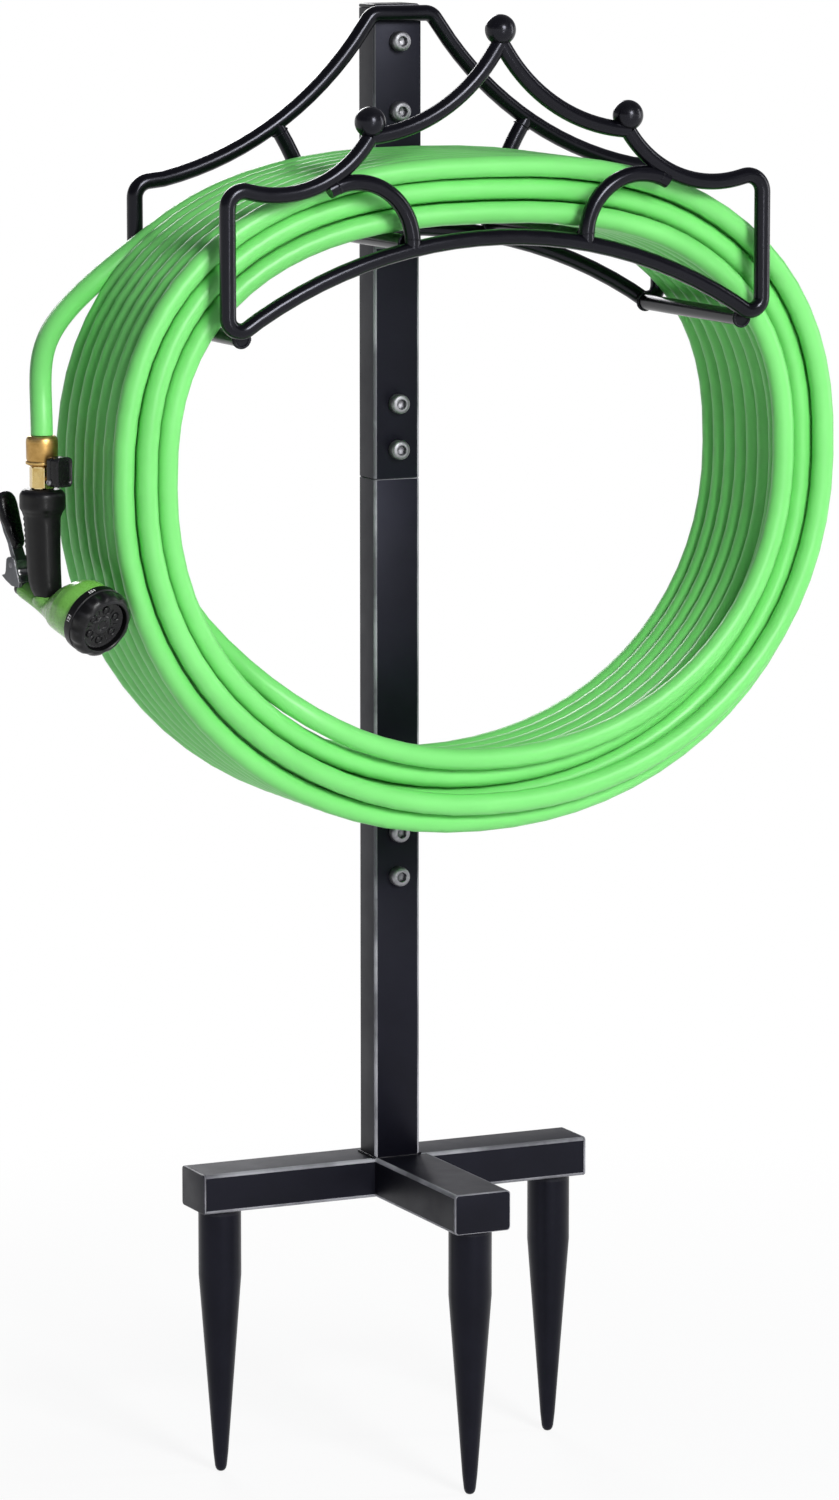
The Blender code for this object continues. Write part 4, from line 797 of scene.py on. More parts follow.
@dataclass
class HoseRun(Maker):
    """The hose as it hangs: a short inner tail, three wound layers and the lead to the nozzle."""

    diameter: float = 0.017
    layer_step: float = 0.018
    turn_pitch: float = 0.0189
    turns_per_layer: int = 7
    last_layer_extra: float = 5 / 24
    centre_z: float = 0.830
    half_width: float = 0.2675
    half_top: float = 0.2022
    half_bottom: float = 0.2405
    top_roundness: float = 2.5
    bottom_roundness: float = 2.1
    post_y: float = 0.0925
    front_to_post: float = 0.1791
    tail_to_post: float = 0.066
    tail_angle: float = 180.0
    drift_angle: float = 60.0
    tail_offset: float = 0.009
    tail_ease: float = 15.0
    tail_axis: Point = (0.01528, 0.27601, 0.96103)
    tail_steps: int = 6
    lead_leave: float = 0.13
    lead_arrive: float = 0.07
    lead_steps: int = 40
    point_step: float = 5.0
    sides: int = 20
    nut_top: Point = (-0.351, -0.0345, 0.8703)
    coupling_diameter: float = 0.0225
    coupling_length: float = 0.026
    swivel_diameter: float = 0.026
    swivel_length: float = 0.015
    ferrule_share: float = 0.55
    crimp_grooves: Point = (0.0035, 0.0070, 0.0105)
    mouth_radius: float = 0.0095
    thread_turns: int = 5
    thread_pitch: float = 0.0014

    def oval_point(self, angle: float, offset: float) -> FlatPoint:
        """Return a front view point of the winding form.

        Args:
            angle: Angle in degrees from +X toward +Z.
            offset: Distance outward from the form.

        Returns:
            Its place across and up.
        """
        turn = math.radians(angle)
        cosine, sine = math.cos(turn), math.sin(turn)
        roundness = self.top_roundness if sine >= 0 else self.bottom_roundness
        half_height = self.half_top if sine >= 0 else self.half_bottom
        power = 2 / roundness
        x = self.half_width * math.copysign(abs(cosine) ** power, cosine)
        z = half_height * math.copysign(abs(sine) ** power, sine)
        normal_x = math.copysign(abs(x / self.half_width) ** (roundness - 1), x) / self.half_width
        normal_z = math.copysign(abs(z / half_height) ** (roundness - 1), z) / half_height
        length = math.hypot(normal_x, normal_z)
        return x + offset * normal_x / length, self.centre_z + z + offset * normal_z / length

    def coil_points(self) -> list[Vector]:
        """Return the coil's centre line from the inner tail to the outer layer's end."""
        front_y = self.post_y - self.front_to_post
        tail_y = self.post_y - self.tail_to_post
        full = 360.0 * self.turns_per_layer
        stages = [("drift", self.drift_angle), ("climb", 180.0), ("run", full), ("climb", 180.0),
                  ("run", full), ("climb", 180.0), ("run", full + 360.0 * self.last_layer_extra)]
        points = []
        angle, layer, heading, base_y = self.tail_angle, -1, 1, front_y
        for kind, span in stages:
            count = round(span / self.point_step)
            for index in range(count + 1 if kind == "run" and layer == 2 else count):
                inside = span * index / count
                if kind == "drift":
                    share = inside / span
                    depth = tail_y + (front_y - tail_y) * share * share * (3 - 2 * share)
                    ease = max(0.0, 1 - inside / self.tail_ease)
                    offset = -self.layer_step - self.tail_offset * ease
                elif kind == "climb":
                    travel = inside - inside ** 2 / 180
                    depth = base_y - heading * self.turn_pitch / 360 * travel
                    offset = (layer + inside / 180) * self.layer_step
                else:
                    depth = base_y + heading * self.turn_pitch * inside / 360
                    offset = layer * self.layer_step
                x, z = self.oval_point(angle + inside, offset)
                points.append(Vector((x, depth, z)))
            angle += span
            if kind == "climb":
                layer += 1
            if kind == "run":
                base_y += heading * self.turn_pitch * span / 360
                heading = -heading
        return self.tail_points(points) + points[self.tail_steps:]

    def tail_points(self, points: Sequence[Vector]) -> list[Vector]:
        """Ease the inner tail's first points onto the coupling's axis.

        Args:
            points: Centre line from the tail.

        Returns:
            As many new points as the tail has steps.
        """
        end, start = points[0], points[self.tail_steps]
        span = (end - start).length
        leave = Vector(self.tail_axis).normalized() * -span
        arrive = (points[self.tail_steps + 1] - points[self.tail_steps - 1]).normalized() * span
        eased = []
        for index in range(self.tail_steps):
            t = index / self.tail_steps
            eased.append(end * (2 * t ** 3 - 3 * t ** 2 + 1) + leave * (t ** 3 - 2 * t ** 2 + t)
                         + start * (3 * t ** 2 - 2 * t ** 3) + arrive * (t ** 3 - t ** 2))
        return eased

    def lead_points(self, coil: Sequence[Vector]) -> list[Vector]:
        """Return the lead's centre line.

        Args:
            coil: Centre line of the coil.

        Returns:
            Points from just after the coil's end down into the nozzle's nut.
        """
        start, end = coil[-1], Vector(self.nut_top)
        leave = start + (coil[-1] - coil[-2]).normalized() * self.lead_leave
        arrive = end + Vector((0, 0, self.lead_arrive))
        points = []
        for index in range(1, self.lead_steps + 1):
            t = index / self.lead_steps
            points.append(start * (1 - t) ** 3 + leave * 3 * t * (1 - t) ** 2
                          + arrive * 3 * t * t * (1 - t) + end * t ** 3)
        return points

    def tube(self, points: Sequence[Vector]) -> Mesh:
        """Make a closed tube with its length and its turn kept for the pattern of the plastic.

        Args:
            points: Its centre line.

        Returns:
            The mesh.
        """
        path = np.array([tuple(point) for point in points])
        along = np.concatenate([[0.0], np.cumsum(np.linalg.norm(np.diff(path, axis=0), axis=1))])
        tangents = np.gradient(path, along, axis=0)
        tangents /= np.linalg.norm(tangents, axis=1)[:, None]
        normal = np.cross(tangents[0], (0.0, 1.0, 0.0))
        turns = 2 * math.pi * np.arange(self.sides) / self.sides
        rings = np.empty((len(path), self.sides, 3))
        for index, tangent in enumerate(tangents):
            normal = normal - tangent * normal.dot(tangent)
            normal /= np.linalg.norm(normal)
            binormal = np.cross(tangent, normal)
            circle_x, circle_y = np.cos(turns)[:, None] * normal, np.sin(turns)[:, None] * binormal
            rings[index] = path[index] + (circle_x + circle_y) * self.diameter / 2
        first = np.arange(self.sides)
        follow = np.roll(first, -1)
        starts = np.arange(len(path) - 1)[:, None] * self.sides
        quads = np.stack([starts + first, starts + follow, starts + self.sides + follow,
                          starts + self.sides + first], axis=2).reshape(-1, 4)
        last = (len(path) - 1) * self.sides
        faces = quads.tolist() + [first[::-1].tolist(), (last + first).tolist()]
        mesh = bpy.data.meshes.new("hose")
        mesh.from_pydata(rings.reshape(-1, 3).tolist(), [], faces)
        note(mesh, ALONG, np.repeat(along, self.sides).astype(np.float32))
        note(mesh, AROUND, np.tile(turns, len(path)).astype(np.float32))
        return mesh

    def tail_fitting(self, coil: Sequence[Vector]) -> list[Object]:
        """Make the crimped brass coupling and its swivel nut on the inner tail.

        Args:
            coil: Centre line of the coil.

        Returns:
            The coupling and the swivel nut.
        """
        outward = Vector(self.tail_axis).normalized()
        frame = axis_matrix(coil[0] + outward * GAP, outward)
        radius, neck = self.coupling_diameter / 2, self.diameter / 2
        ferrule = self.coupling_length * self.ferrule_share
        profile = [(0, 0), (neck, 0), (radius - 0.0008, 0), (radius, 0.0008)]
        for groove in self.crimp_grooves:
            profile += [(radius, groove - 0.0009), (radius - 0.0006, groove),
                        (radius, groove + 0.0009)]
        profile += [(radius, ferrule - 0.001), (radius - 0.001, ferrule), (neck, ferrule + 0.001),
                    (neck, self.coupling_length), (0, self.coupling_length)]
        coupling = show("tail_crimp_coupling", placed(turned(profile, 48), frame),
                        self.finishes.brass, Body.HOSE, ["tail_coupling"])
        base = frame @ Matrix.Translation((0, 0, self.coupling_length + GAP))
        count, length = 48, self.swivel_length
        outer = hexagon(self.swivel_diameter * 0.94, count, 0, 8)
        mouth = circle(self.mouth_radius, count)
        rings = [lifted(mouth, 0.0005, 0.5), lifted(outer, 0, 0.93), lifted(outer, 0.0009),
                 lifted(outer, length - 0.0009), lifted(outer, length, 0.93),
                 lifted(mouth, length, 1.06), lifted(mouth, length - 0.0012)]
        for turn in range(self.thread_turns):
            height = length - 0.0022 - self.thread_pitch * turn
            rings += [lifted(mouth, height, 0.94), lifted(mouth, height - 0.0007)]
        rings.append(lifted(mouth, length - 0.0095, 0.5))
        nut = placed(with_axial(finished(skinned(rings))), base)
        swivel = show("tail_swivel_ring", nut, self.finishes.brass, Body.TAIL_NUT,
                      ["tail_swivel_nut"])
        return [coupling, swivel]

    def build(self, carried: Sequence[str]) -> None:
        """Args:
            carried: Names of the pieces at its nozzle end; not used.
        """
        coil = self.coil_points()
        points = coil + self.lead_points(coil)
        hose = show("garden_hose", self.tube(points), self.finishes.hose, Body.HOSE,
                    ["hose_coil", "hose_lead"], smooth_angle=60.0)
        fitting = self.tail_fitting(coil)


@dataclass
class PostColumn(Maker):
    """Post of rectangular tube in three sections, joined over inner sleeves, with a moulded cap."""

    width: float = 0.040
    depth: float = 0.030
    wall: float = 0.0015
    corner: float = 0.0022
    top_z: float = 1.184
    foot_top_z: float = 0.2525
    lower_seam_z: float = 0.5445
    upper_seam_z: float = 0.8085
    cap_thickness: float = 0.003
    cap_plug: float = 0.012
    post_y: float = 0.0925
    end_round: float = 0.0005

    def section(self, bottom: float, top: float) -> Mesh:
        """Make one length of tube with its sawn ends slightly rounded.

        Args:
            bottom: Height of its lower end.
            top: Height of its upper end.

        Returns:
            The mesh.
        """
        outer = rounded_rectangle(self.width, self.depth, self.corner)
        slim = 1 - 2 * self.end_round / self.width
        inner = rounded_rectangle(self.width - 2 * self.wall, self.depth - 2 * self.wall,
                                  self.corner / 2)
        rings = [lifted(outer, bottom, slim), lifted(outer, bottom + self.end_round),
                 lifted(outer, top - self.end_round), lifted(outer, top, slim),
                 lifted(inner, top), lifted(inner, bottom)]
        mesh = finished(skinned(rings, closed=True))
        return placed(mesh, Matrix.Translation((0, self.post_y, 0)))

    def cap(self) -> Mesh:
        """Make the cap: a slightly domed lid with a rounded rim over its plug."""
        low = self.top_z + GAP
        top = low + self.cap_thickness
        lid = rounded_rectangle(self.width, self.depth, self.corner)
        plug = rounded_rectangle(self.width - 2 * self.wall - 2 * GAP,
                                 self.depth - 2 * self.wall - 2 * GAP, self.corner / 2)
        rings = [lifted(plug, self.top_z - self.cap_plug), lifted(plug, low),
                 lifted(lid, low, 0.985), lifted(lid, low + 0.0003), lifted(lid, top - 0.0014),
                 lifted(lid, top - 0.0007, 0.985), lifted(lid, top - 0.0002, 0.95),
                 lifted(lid, top, 0.86)]
        return placed(finished(skinned(rings)), Matrix.Translation((0, self.post_y, 0)))

    def build(self, frame: dict) -> None:
        """Make the sections and the cap, and paint the sleeves inside.

        Args:
            frame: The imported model.
        """
        spans = {"lower": (self.foot_top_z + GAP, self.lower_seam_z - GAP / 2),
                 "middle": (self.lower_seam_z + GAP / 2, self.upper_seam_z - GAP / 2),
                 "upper": (self.upper_seam_z + GAP / 2, self.top_z)}
        for label, (bottom, top) in spans.items():
            show_steel(f"{label}_tube", self.section(bottom, top), self.finishes.steel,
                       f"{label}_post_section")
        show("tube_cap", self.cap(), self.finishes.cap, Body.STAND, ["post_cap"])
        for name in ("upper_sleeve", "lower_sleeve"):
            frame["nodes"][name].material_slots[0].material = self.finishes.steel


@dataclass
class Foot(Maker):
    """Crossbar, forward leg and three tapered ground stakes, closed by welded end plates."""

    top_z: float = 0.2525
    height: float = 0.0324
    bar_length: float = 0.344
    bar_depth: float = 0.045
    leg_reach: float = 0.151
    leg_width: float = 0.049
    wall: float = 0.002
    corner: float = 0.0028
    plate: float = 0.002
    post_front_y: float = 0.0775
    leg_x: float = 0.0045
    stake_diameter: float = 0.0348
    tip_diameter: float = 0.0097
    stake_straight: float = 0.055
    stake_inset: float = 0.0235
    seam_x: float = 0.0203
    seam_length: float = 0.028

    def bar(self, width: float, near: float, far: float) -> Mesh:
        """Make a length of flat tube along Z, its ends open.

        Args:
            width: Width of the tube; its other side is the foot's height.
            near: Lower end.
            far: Upper end.

        Returns:
            The mesh.
        """
        outer = rounded_rectangle(self.height, width, self.corner)
        inner = rounded_rectangle(self.height - 2 * self.wall, width - 2 * self.wall,
                                  self.corner / 2)
        rings = [lifted(outer, near), lifted(outer, far), lifted(inner, far), lifted(inner, near)]
        return finished(skinned(rings, closed=True))

    def end_plate(self, width: float, near: float, far: float) -> Mesh:
        """Make a welded end plate whose outer rim is ground round.

        Args:
            width: Width of the tube that it closes.
            near: Side toward the tube.
            far: Outer side.

        Returns:
            The mesh.
        """
        outline = rounded_rectangle(self.height, width, self.corner)
        step = math.copysign(0.0004, far - near)
        rings = [lifted(outline, near), lifted(outline, far - 2 * step),
                 lifted(outline, far - step / 2, 0.985), lifted(outline, far, 0.96)]
        return finished(skinned(rings))

    def stake(self, place: Point) -> Mesh:
        """Turn one stake: a straight top, a long taper and a blunt tip.

        Args:
            place: Point on the ground under it.

        Returns:
            The mesh.
        """
        top = self.top_z - self.height - GAP
        radius, tip = self.stake_diameter / 2, self.tip_diameter / 2
        profile = [(0, 0), (tip * 0.35, tip * 0.05), (tip * 0.62, tip * 0.18),
                   (tip * 0.86, tip * 0.5), (tip, tip), (tip * 1.25, tip * 3.2),
                   (radius, top - self.stake_straight), (radius, top - 0.004), (radius, top),
                   (0, top)]
        return placed(turned(profile), Matrix.Translation(place))

    def build(self) -> None:
        """Make the foot."""
        middle_z = self.top_z - self.height / 2
        bar_y = self.post_front_y + self.bar_depth / 2
        along_x = axis_matrix((0, bar_y, middle_z), (1, 0, 0), (0, 0, 1))
        half = self.bar_length / 2 - self.plate - GAP
        bar = placed(self.bar(self.bar_depth, -half, half), along_x)
        show_steel("foot_crossbar", bar, self.finishes.steel, "crossbar")
        for label, sign in SIDES:
            plate = self.end_plate(self.bar_depth, sign * (half + GAP), sign * self.bar_length / 2)
            show_steel(f"{label}_bar_end", placed(plate, along_x), self.finishes.steel,
                       f"{label}_end_plate")
        along_front = axis_matrix((self.leg_x, self.post_front_y, middle_z), (0, -1, 0), (0, 0, 1))
        leg_end = self.leg_reach - self.plate - GAP
        leg = placed(self.bar(self.leg_width, GAP, leg_end), along_front)
        show_steel("foot_leg", leg, self.finishes.steel, "front_leg")
        plate = placed(self.end_plate(self.leg_width, leg_end + GAP, self.leg_reach), along_front)
        show_steel("leg_end", plate, self.finishes.steel, "front_end_plate")
        reach = self.bar_length / 2 - self.stake_inset
        places = {"left": (-reach, bar_y, 0), "right": (reach, bar_y, 0),
                  "front": (self.leg_x, self.post_front_y - self.leg_reach + self.stake_inset, 0)}
        for label, place in places.items():
            show_steel(f"{label}_ground_stake", self.stake(place), self.finishes.stake,
                       f"{label}_stake")
        self.build_welds(places)

    def build_welds(self, places: dict[str, Point]) -> None:
        """Lay weld beads round the stakes and along the foot of the post.

        Args:
            places: Ground points of the stakes.
        """
        bead = WeldBead(width=0.0034, height=0.0012)
        low = self.top_z - self.height - 0.0006
        meshes = []
        for x, y, _ in places.values():
            ring = [(x + across, y + deep, low) for across, deep in
                    circle(self.stake_diameter / 2 + 0.0004, 72)]
            meshes.append(bead.along(ring + ring[:1], self.finishes.rod))
        side, steps = self.post_front_y + 0.001, 12
        for sign in (-1, 1):
            run = [(sign * self.seam_x, side + self.seam_length * index / steps,
                    self.top_z + 0.0008) for index in range(steps + 1)]
            meshes.append(bead.along(run, self.finishes.rod))
        show_steel("foot_weld_beads", joined(meshes), self.finishes.rod)


@dataclass
class WeldBead:
    """A bead of weld: small overlapping puddles along a seam, painted over."""

    width: float
    height: float
    pitch_share: float = 0.42
    seed: int = 11

    def along(self, path: Sequence[Point], material: Material) -> Mesh:
        """Lay puddles along a path with Geometry Nodes.

        Args:
            path: Points of the seam.
            material: Paint over the weld.

        Returns:
            The bead's mesh.
        """
        pattern = PatternTree("weld_bead")
        pitch = pattern.size("Puddle Pitch", self.width * self.pitch_share)
        width = pattern.size("Bead Width", self.width)
        height = pattern.size("Bead Height", self.height)
        seed = pattern.size("Seed", self.seed)
        paint = pattern.size("Paint", material)
        even = pattern.step("GeometryNodeResampleCurve",
                            {"Curve": pattern.curve(), "Length": pitch}, mode="LENGTH")
        puddle = pattern.step("GeometryNodeMeshIcoSphere", {"Radius": 0.5, "Subdivisions": 2})
        swell = pattern.step("FunctionNodeRandomValue", {"Seed": seed, "Min": 0.86, "Max": 1.12},
                             data_type="FLOAT")
        wide = calc(pattern.tree, "MULTIPLY", width, swell)
        tall = calc(pattern.tree, "MULTIPLY", height, 2.0)
        size = pattern.step("ShaderNodeCombineXYZ", {"X": wide, "Y": wide, "Z": tall})
        laid = pattern.step("GeometryNodeInstanceOnPoints",
                            {"Points": even, "Instance": puddle, "Scale": size})
        pattern.end(laid, paint)
        return pattern.run(path, path=True)


@dataclass
class MountingPlate(Maker):
    """Plate on the post that carries the basket, its rim ground round."""

    width: float = 0.040
    thickness: float = 0.002
    bottom_z: float = 0.9935
    top_z: float = 1.1865
    corner: float = 0.002
    seat_y: float = 0.0772

    def build(self) -> None:
        """Make the plate."""
        outline = rounded_rectangle(self.width, self.top_z - self.bottom_z, self.corner)
        slim = 1 - 0.0008 / self.width
        rings = [lifted(outline, 0, slim), lifted(outline, 0.0004),
                 lifted(outline, self.thickness - 0.0005), lifted(outline, self.thickness, slim)]
        seat = axis_matrix((0, self.seat_y, (self.top_z + self.bottom_z) / 2), (0, -1, 0))
        show_steel("mounting_plate", placed(finished(skinned(rings)), seat), self.finishes.steel,
                   "basket_plate")


@dataclass
class SocketScrews(Maker):
    """Six zinc-plated socket screws, each left at its own turn by the key, and their nuts."""

    head_diameter: float = 0.0158
    head_height: float = 0.009
    socket_flats: float = 0.0072
    socket_depth: float = 0.005
    post_front_y: float = 0.0775
    plate_front_y: float = 0.0752
    plate_z: tuple[float, float] = (1.158, 1.1025)
    upper_z: tuple[float, float] = (0.869, 0.832)
    lower_z: tuple[float, float] = (0.521, 0.485)
    seed: int = 5

    def head(self) -> Object:
        """Make one head: rounded rim, chamfered hexagon socket and drill cone.

        Returns:
            A hidden object that the pattern repeats.
        """
        count, top = 48, self.head_height
        radius, flats = self.head_diameter / 2, self.socket_flats
        rim = circle(1.0, count)
        key = hexagon(flats, count)
        floor = top - self.socket_depth
        rings = [lifted(rim, 0, radius - 0.0006), lifted(rim, 0.0005, radius),
                 lifted(rim, top - 0.0026, radius), lifted(rim, top - 0.0012, radius - 0.0004),
                 lifted(rim, top - 0.0004, radius - 0.0013), lifted(rim, top, radius - 0.0027),
                 lifted(rim, top, flats * 0.585), lifted(key, top - 0.0006),
                 lifted(key, floor), lifted(rim, floor, flats * 0.3),
                 lifted(rim, floor - 0.001, 0.0002)]
        mesh = with_axial(finished(skinned(rings)))
        mesh.shade_smooth()
        mesh.set_sharp_from_angle(angle=math.radians(SMOOTH_ANGLE))
        mesh.materials.append(self.finishes.zinc)
        return bpy.data.objects.new("screw_head", mesh)

    def build(self, frame: dict) -> None:
        """Set the heads at their places with Geometry Nodes, and plate the nuts inside the post.

        Args:
            frame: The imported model.
        """
        pattern = PatternTree("key_turned_screws")
        head = self.head()
        source = pattern.size("Screw Head", head)
        spread = pattern.size("Key Turn", 1.0)
        seed = pattern.size("Seed", self.seed)
        plating = pattern.size("Plating", self.finishes.zinc)
        place = pattern.step("GeometryNodeMeshToPoints", {"Mesh": pattern.source.outputs[0]})
        chance = pattern.step("FunctionNodeRandomValue", {"Seed": seed, "Min": 0.0, "Max": spread},
                              data_type="FLOAT")
        turn = pattern.step("ShaderNodeCombineXYZ", {"X": math.pi / 2, "Y": chance})
        heads = pattern.step("GeometryNodeInstanceOnPoints",
                             {"Points": place, "Instance": pattern.form(source), "Rotation": turn})
        pattern.end(heads, plating)
        points = [(0, self.plate_front_y - GAP, height) for height in self.plate_z]
        points += [(0, self.post_front_y - GAP, height) for height in self.upper_z + self.lower_z]
        labels = [f"{row}_{{}}_{number}" for row in ("plate", "upper", "lower")
                  for number in (1, 2)]
        show("socket_screws", pattern.run(points), self.finishes.zinc, Body.STAND,
             [label.format("screw") for label in labels])
        bpy.data.objects.remove(head, do_unlink=True)
        for label in labels:
            node = frame["nodes"][label.format("nut")]
            node.material_slots[0].material = self.finishes.zinc


@dataclass
class BentRod:
    """Round bar bent along a path: the tree sweeps a round section along it."""

    diameter: float = 0.0127
    sides: int = 28

    def along(self, path: Sequence[Point], material: Material, closed: bool = False) -> Mesh:
        """Sweep the bar along a path with Geometry Nodes.

        Args:
            path: Points of the bent centre line.
            material: Paint on the bar.
            closed: Whether the bar's ends are welded together.

        Returns:
            The mesh.
        """
        pattern = PatternTree("bent_round_bar")
        radius = pattern.size("Bar Radius", self.diameter / 2)
        sides = pattern.size("Section Points", self.sides)
        paint = pattern.size("Paint", material)
        section = pattern.step("GeometryNodeCurvePrimitiveCircle",
                               {"Resolution": sides, "Radius": radius}, mode="RADIUS")
        swept = pattern.step("GeometryNodeCurveToMesh",
                             {"Curve": pattern.curve(), "Profile Curve": section,
                              "Fill Caps": not closed})
        pattern.end(swept, paint)
        return pattern.run(path, path=True, closed=closed)


@dataclass
class RodBasket(Maker):
    """Two bent frames with braces, joined by four straight rods, with three balls in front."""

    rod: float = 0.0127
    ball: float = 0.024
    front_y: float = -0.1105
    back_y: float = 0.06855
    front_half_width: float = 0.229
    front_arch_radius: float = 0.393
    front_arch_z: float = 0.622
    corner_bend: float = 0.0105
    top_bend: float = 0.013
    shoulder_radius: float = 0.091
    shoulder_low: FlatPoint = (0.187, 1.0525)
    shoulder_outer: float = 14.0
    shoulder_inner: float = 57.0
    side_ball: FlatPoint = (0.1102, 1.106)
    centre_ball_z: float = 1.174
    swoop_radius: float = 0.137
    swoop_centre: FlatPoint = (0.1201, 1.2315)
    swoop_outer: float = 4.0
    swoop_inner: float = 57.0
    swoop_tip: float = 0.012
    brace_radius: float = 0.0475
    brace_centre: FlatPoint = (0.122, 1.013)
    brace_foot: float = 186.0
    brace_end: float = 61.0
    back_half_width: float = 0.230
    back_arch_radius: float = 0.399
    back_arch_z: float = 0.611
    back_top_radius: float = 0.283
    back_top_centre: FlatPoint = (0.2651, 1.3317)
    back_top_outer: float = 12.0
    back_top_inner: float = 55.0
    crest_z: float = 1.180
    back_brace_top_x: float = 0.110
    back_brace_middle: FlatPoint = (0.092, 1.0626)
    back_brace_foot_x: float = 0.077
    saddle: FlatPoint = (0.076, 1.0123)
    corner: FlatPoint = (0.2149, 0.9441)
    bead_inset: float = 0.0006

    def lower_half(self, before: FlatPoint, top_corner: FlatPoint, radius: float,
                   centre_z: float) -> list[FlatPoint]:
        """Return the right half of a frame from its upper corner down and in to the arch's crown.

        Args:
            before: Last point before the upper corner.
            top_corner: The sharp upper corner.
            radius: Radius of the bottom arch.
            centre_z: Height of the arch's centre.

        Returns:
            The points.
        """
        half_width = top_corner[0]
        low_corner = (half_width, centre_z + math.sqrt(radius ** 2 - half_width ** 2))
        start = math.degrees(math.acos((half_width - 2.4 * self.corner_bend) / radius))
        arch = arc((0, centre_z), radius, start, 90)
        return (fillet(before, top_corner, low_corner, self.top_bend)
                + fillet(top_corner, low_corner, arch[0], self.corner_bend) + arch)

    def front_points(self) -> list[FlatPoint]:
        """Return the front frame's bar, from ball to ball round the bottom."""
        centre = (self.shoulder_low[0], self.shoulder_low[1] + self.shoulder_radius)
        shoulder = arc(centre, self.shoulder_radius, 270 - self.shoulder_inner,
                       270 + self.shoulder_outer)
        end_x, end_z = shoulder[-1]
        rise = math.tan(math.radians(self.shoulder_outer))
        top_corner = (self.front_half_width, end_z + (self.front_half_width - end_x) * rise)
        half = shoulder + self.lower_half(shoulder[-1], top_corner, self.front_arch_radius,
                                          self.front_arch_z)
        return half + mirrored(half[:-1])

    def back_points(self) -> list[FlatPoint]:
        """Return the back frame's closed bar."""
        top_line = arc(self.back_top_centre, self.back_top_radius, 270 - self.back_top_outer,
                       270 - self.back_top_inner)
        inner_x, inner_z = top_line[-1]
        slope = math.tan(math.radians(self.back_top_inner))
        crest = (inner_x - (self.crest_z - inner_z) / slope, self.crest_z)
        outer_x, outer_z = top_line[0]
        fall = math.tan(math.radians(self.back_top_outer / 2))
        top_corner = (self.back_half_width, outer_z - (self.back_half_width - outer_x) * fall)
        half = fillet((0, self.crest_z), crest, top_line[-1], self.top_bend * 0.8)
        half += top_line[-2::-1]
        half += self.lower_half(top_line[0], top_corner, self.back_arch_radius, self.back_arch_z)
        return half + mirrored(half[:-1])

    def back_brace_points(self) -> list[FlatPoint]:
        """Return the right back brace, an arc through its top, middle and foot."""
        reach = self.back_top_centre[0] - self.back_brace_top_x
        top_z = self.back_top_centre[1] - math.sqrt(self.back_top_radius ** 2 - reach ** 2)
        foot_x = self.back_brace_foot_x
        foot_z = self.back_arch_z + math.sqrt(self.back_arch_radius ** 2 - foot_x ** 2)
        (ax, az), (bx, bz), (cx, cz) = ((self.back_brace_top_x, top_z), self.back_brace_middle,
                                        (foot_x, foot_z))
        det = 2 * (ax * (bz - cz) + bx * (cz - az) + cx * (az - bz))
        first, second, third = ax * ax + az * az, bx * bx + bz * bz, cx * cx + cz * cz
        centre_x = (first * (bz - cz) + second * (cz - az) + third * (az - bz)) / det
        centre_z = (first * (cx - bx) + second * (ax - cx) + third * (bx - ax)) / det
        start = math.degrees(math.atan2(az - centre_z, ax - centre_x))
        end = math.degrees(math.atan2(cz - centre_z, cx - centre_x))
        sweep = (end - start + 180) % 360 - 180
        return arc((centre_x, centre_z), math.hypot(ax - centre_x, az - centre_z), start,
                   start + sweep)

    def swoop_points(self) -> list[FlatPoint]:
        """Return the right swoop, from its ball up to the middle."""
        points = arc(self.swoop_centre, self.swoop_radius, 270 - self.swoop_outer,
                     270 - self.swoop_inner)
        lean = math.radians(self.swoop_inner)
        tip_x, tip_z = points[-1]
        rise = min(self.swoop_tip, tip_x / math.cos(lean))
        points.append((tip_x - rise * math.cos(lean), tip_z + rise * math.sin(lean)))
        return points

    def ball_at(self, x: float, z: float) -> Mesh:
        """Turn one ball, with the small flat that its seam leaves at both poles.

        Args:
            x: Its place across.
            z: Its height.

        Returns:
            The mesh.
        """
        radius, steps = self.ball / 2, 28
        turns = [math.pi * index / steps for index in range(1, steps)]
        profile = [(radius * math.sin(turn), -radius * math.cos(turn)) for turn in turns]
        profile = [(0, profile[0][1])] + profile + [(0, profile[-1][1])]
        ball = turned(profile, 56)
        return placed(ball, Matrix.Translation((x, self.front_y, z)))

    def build(self) -> None:
        """Make both frames, their braces, the rods between them, the balls and the welds."""
        bar = BentRod(self.rod)
        paint = self.finishes.rod

        def upright(points: Iterable[FlatPoint], depth: float) -> list[Point]:
            """Place front view points in an upright plane."""
            return [(x, depth, z) for x, z in points]

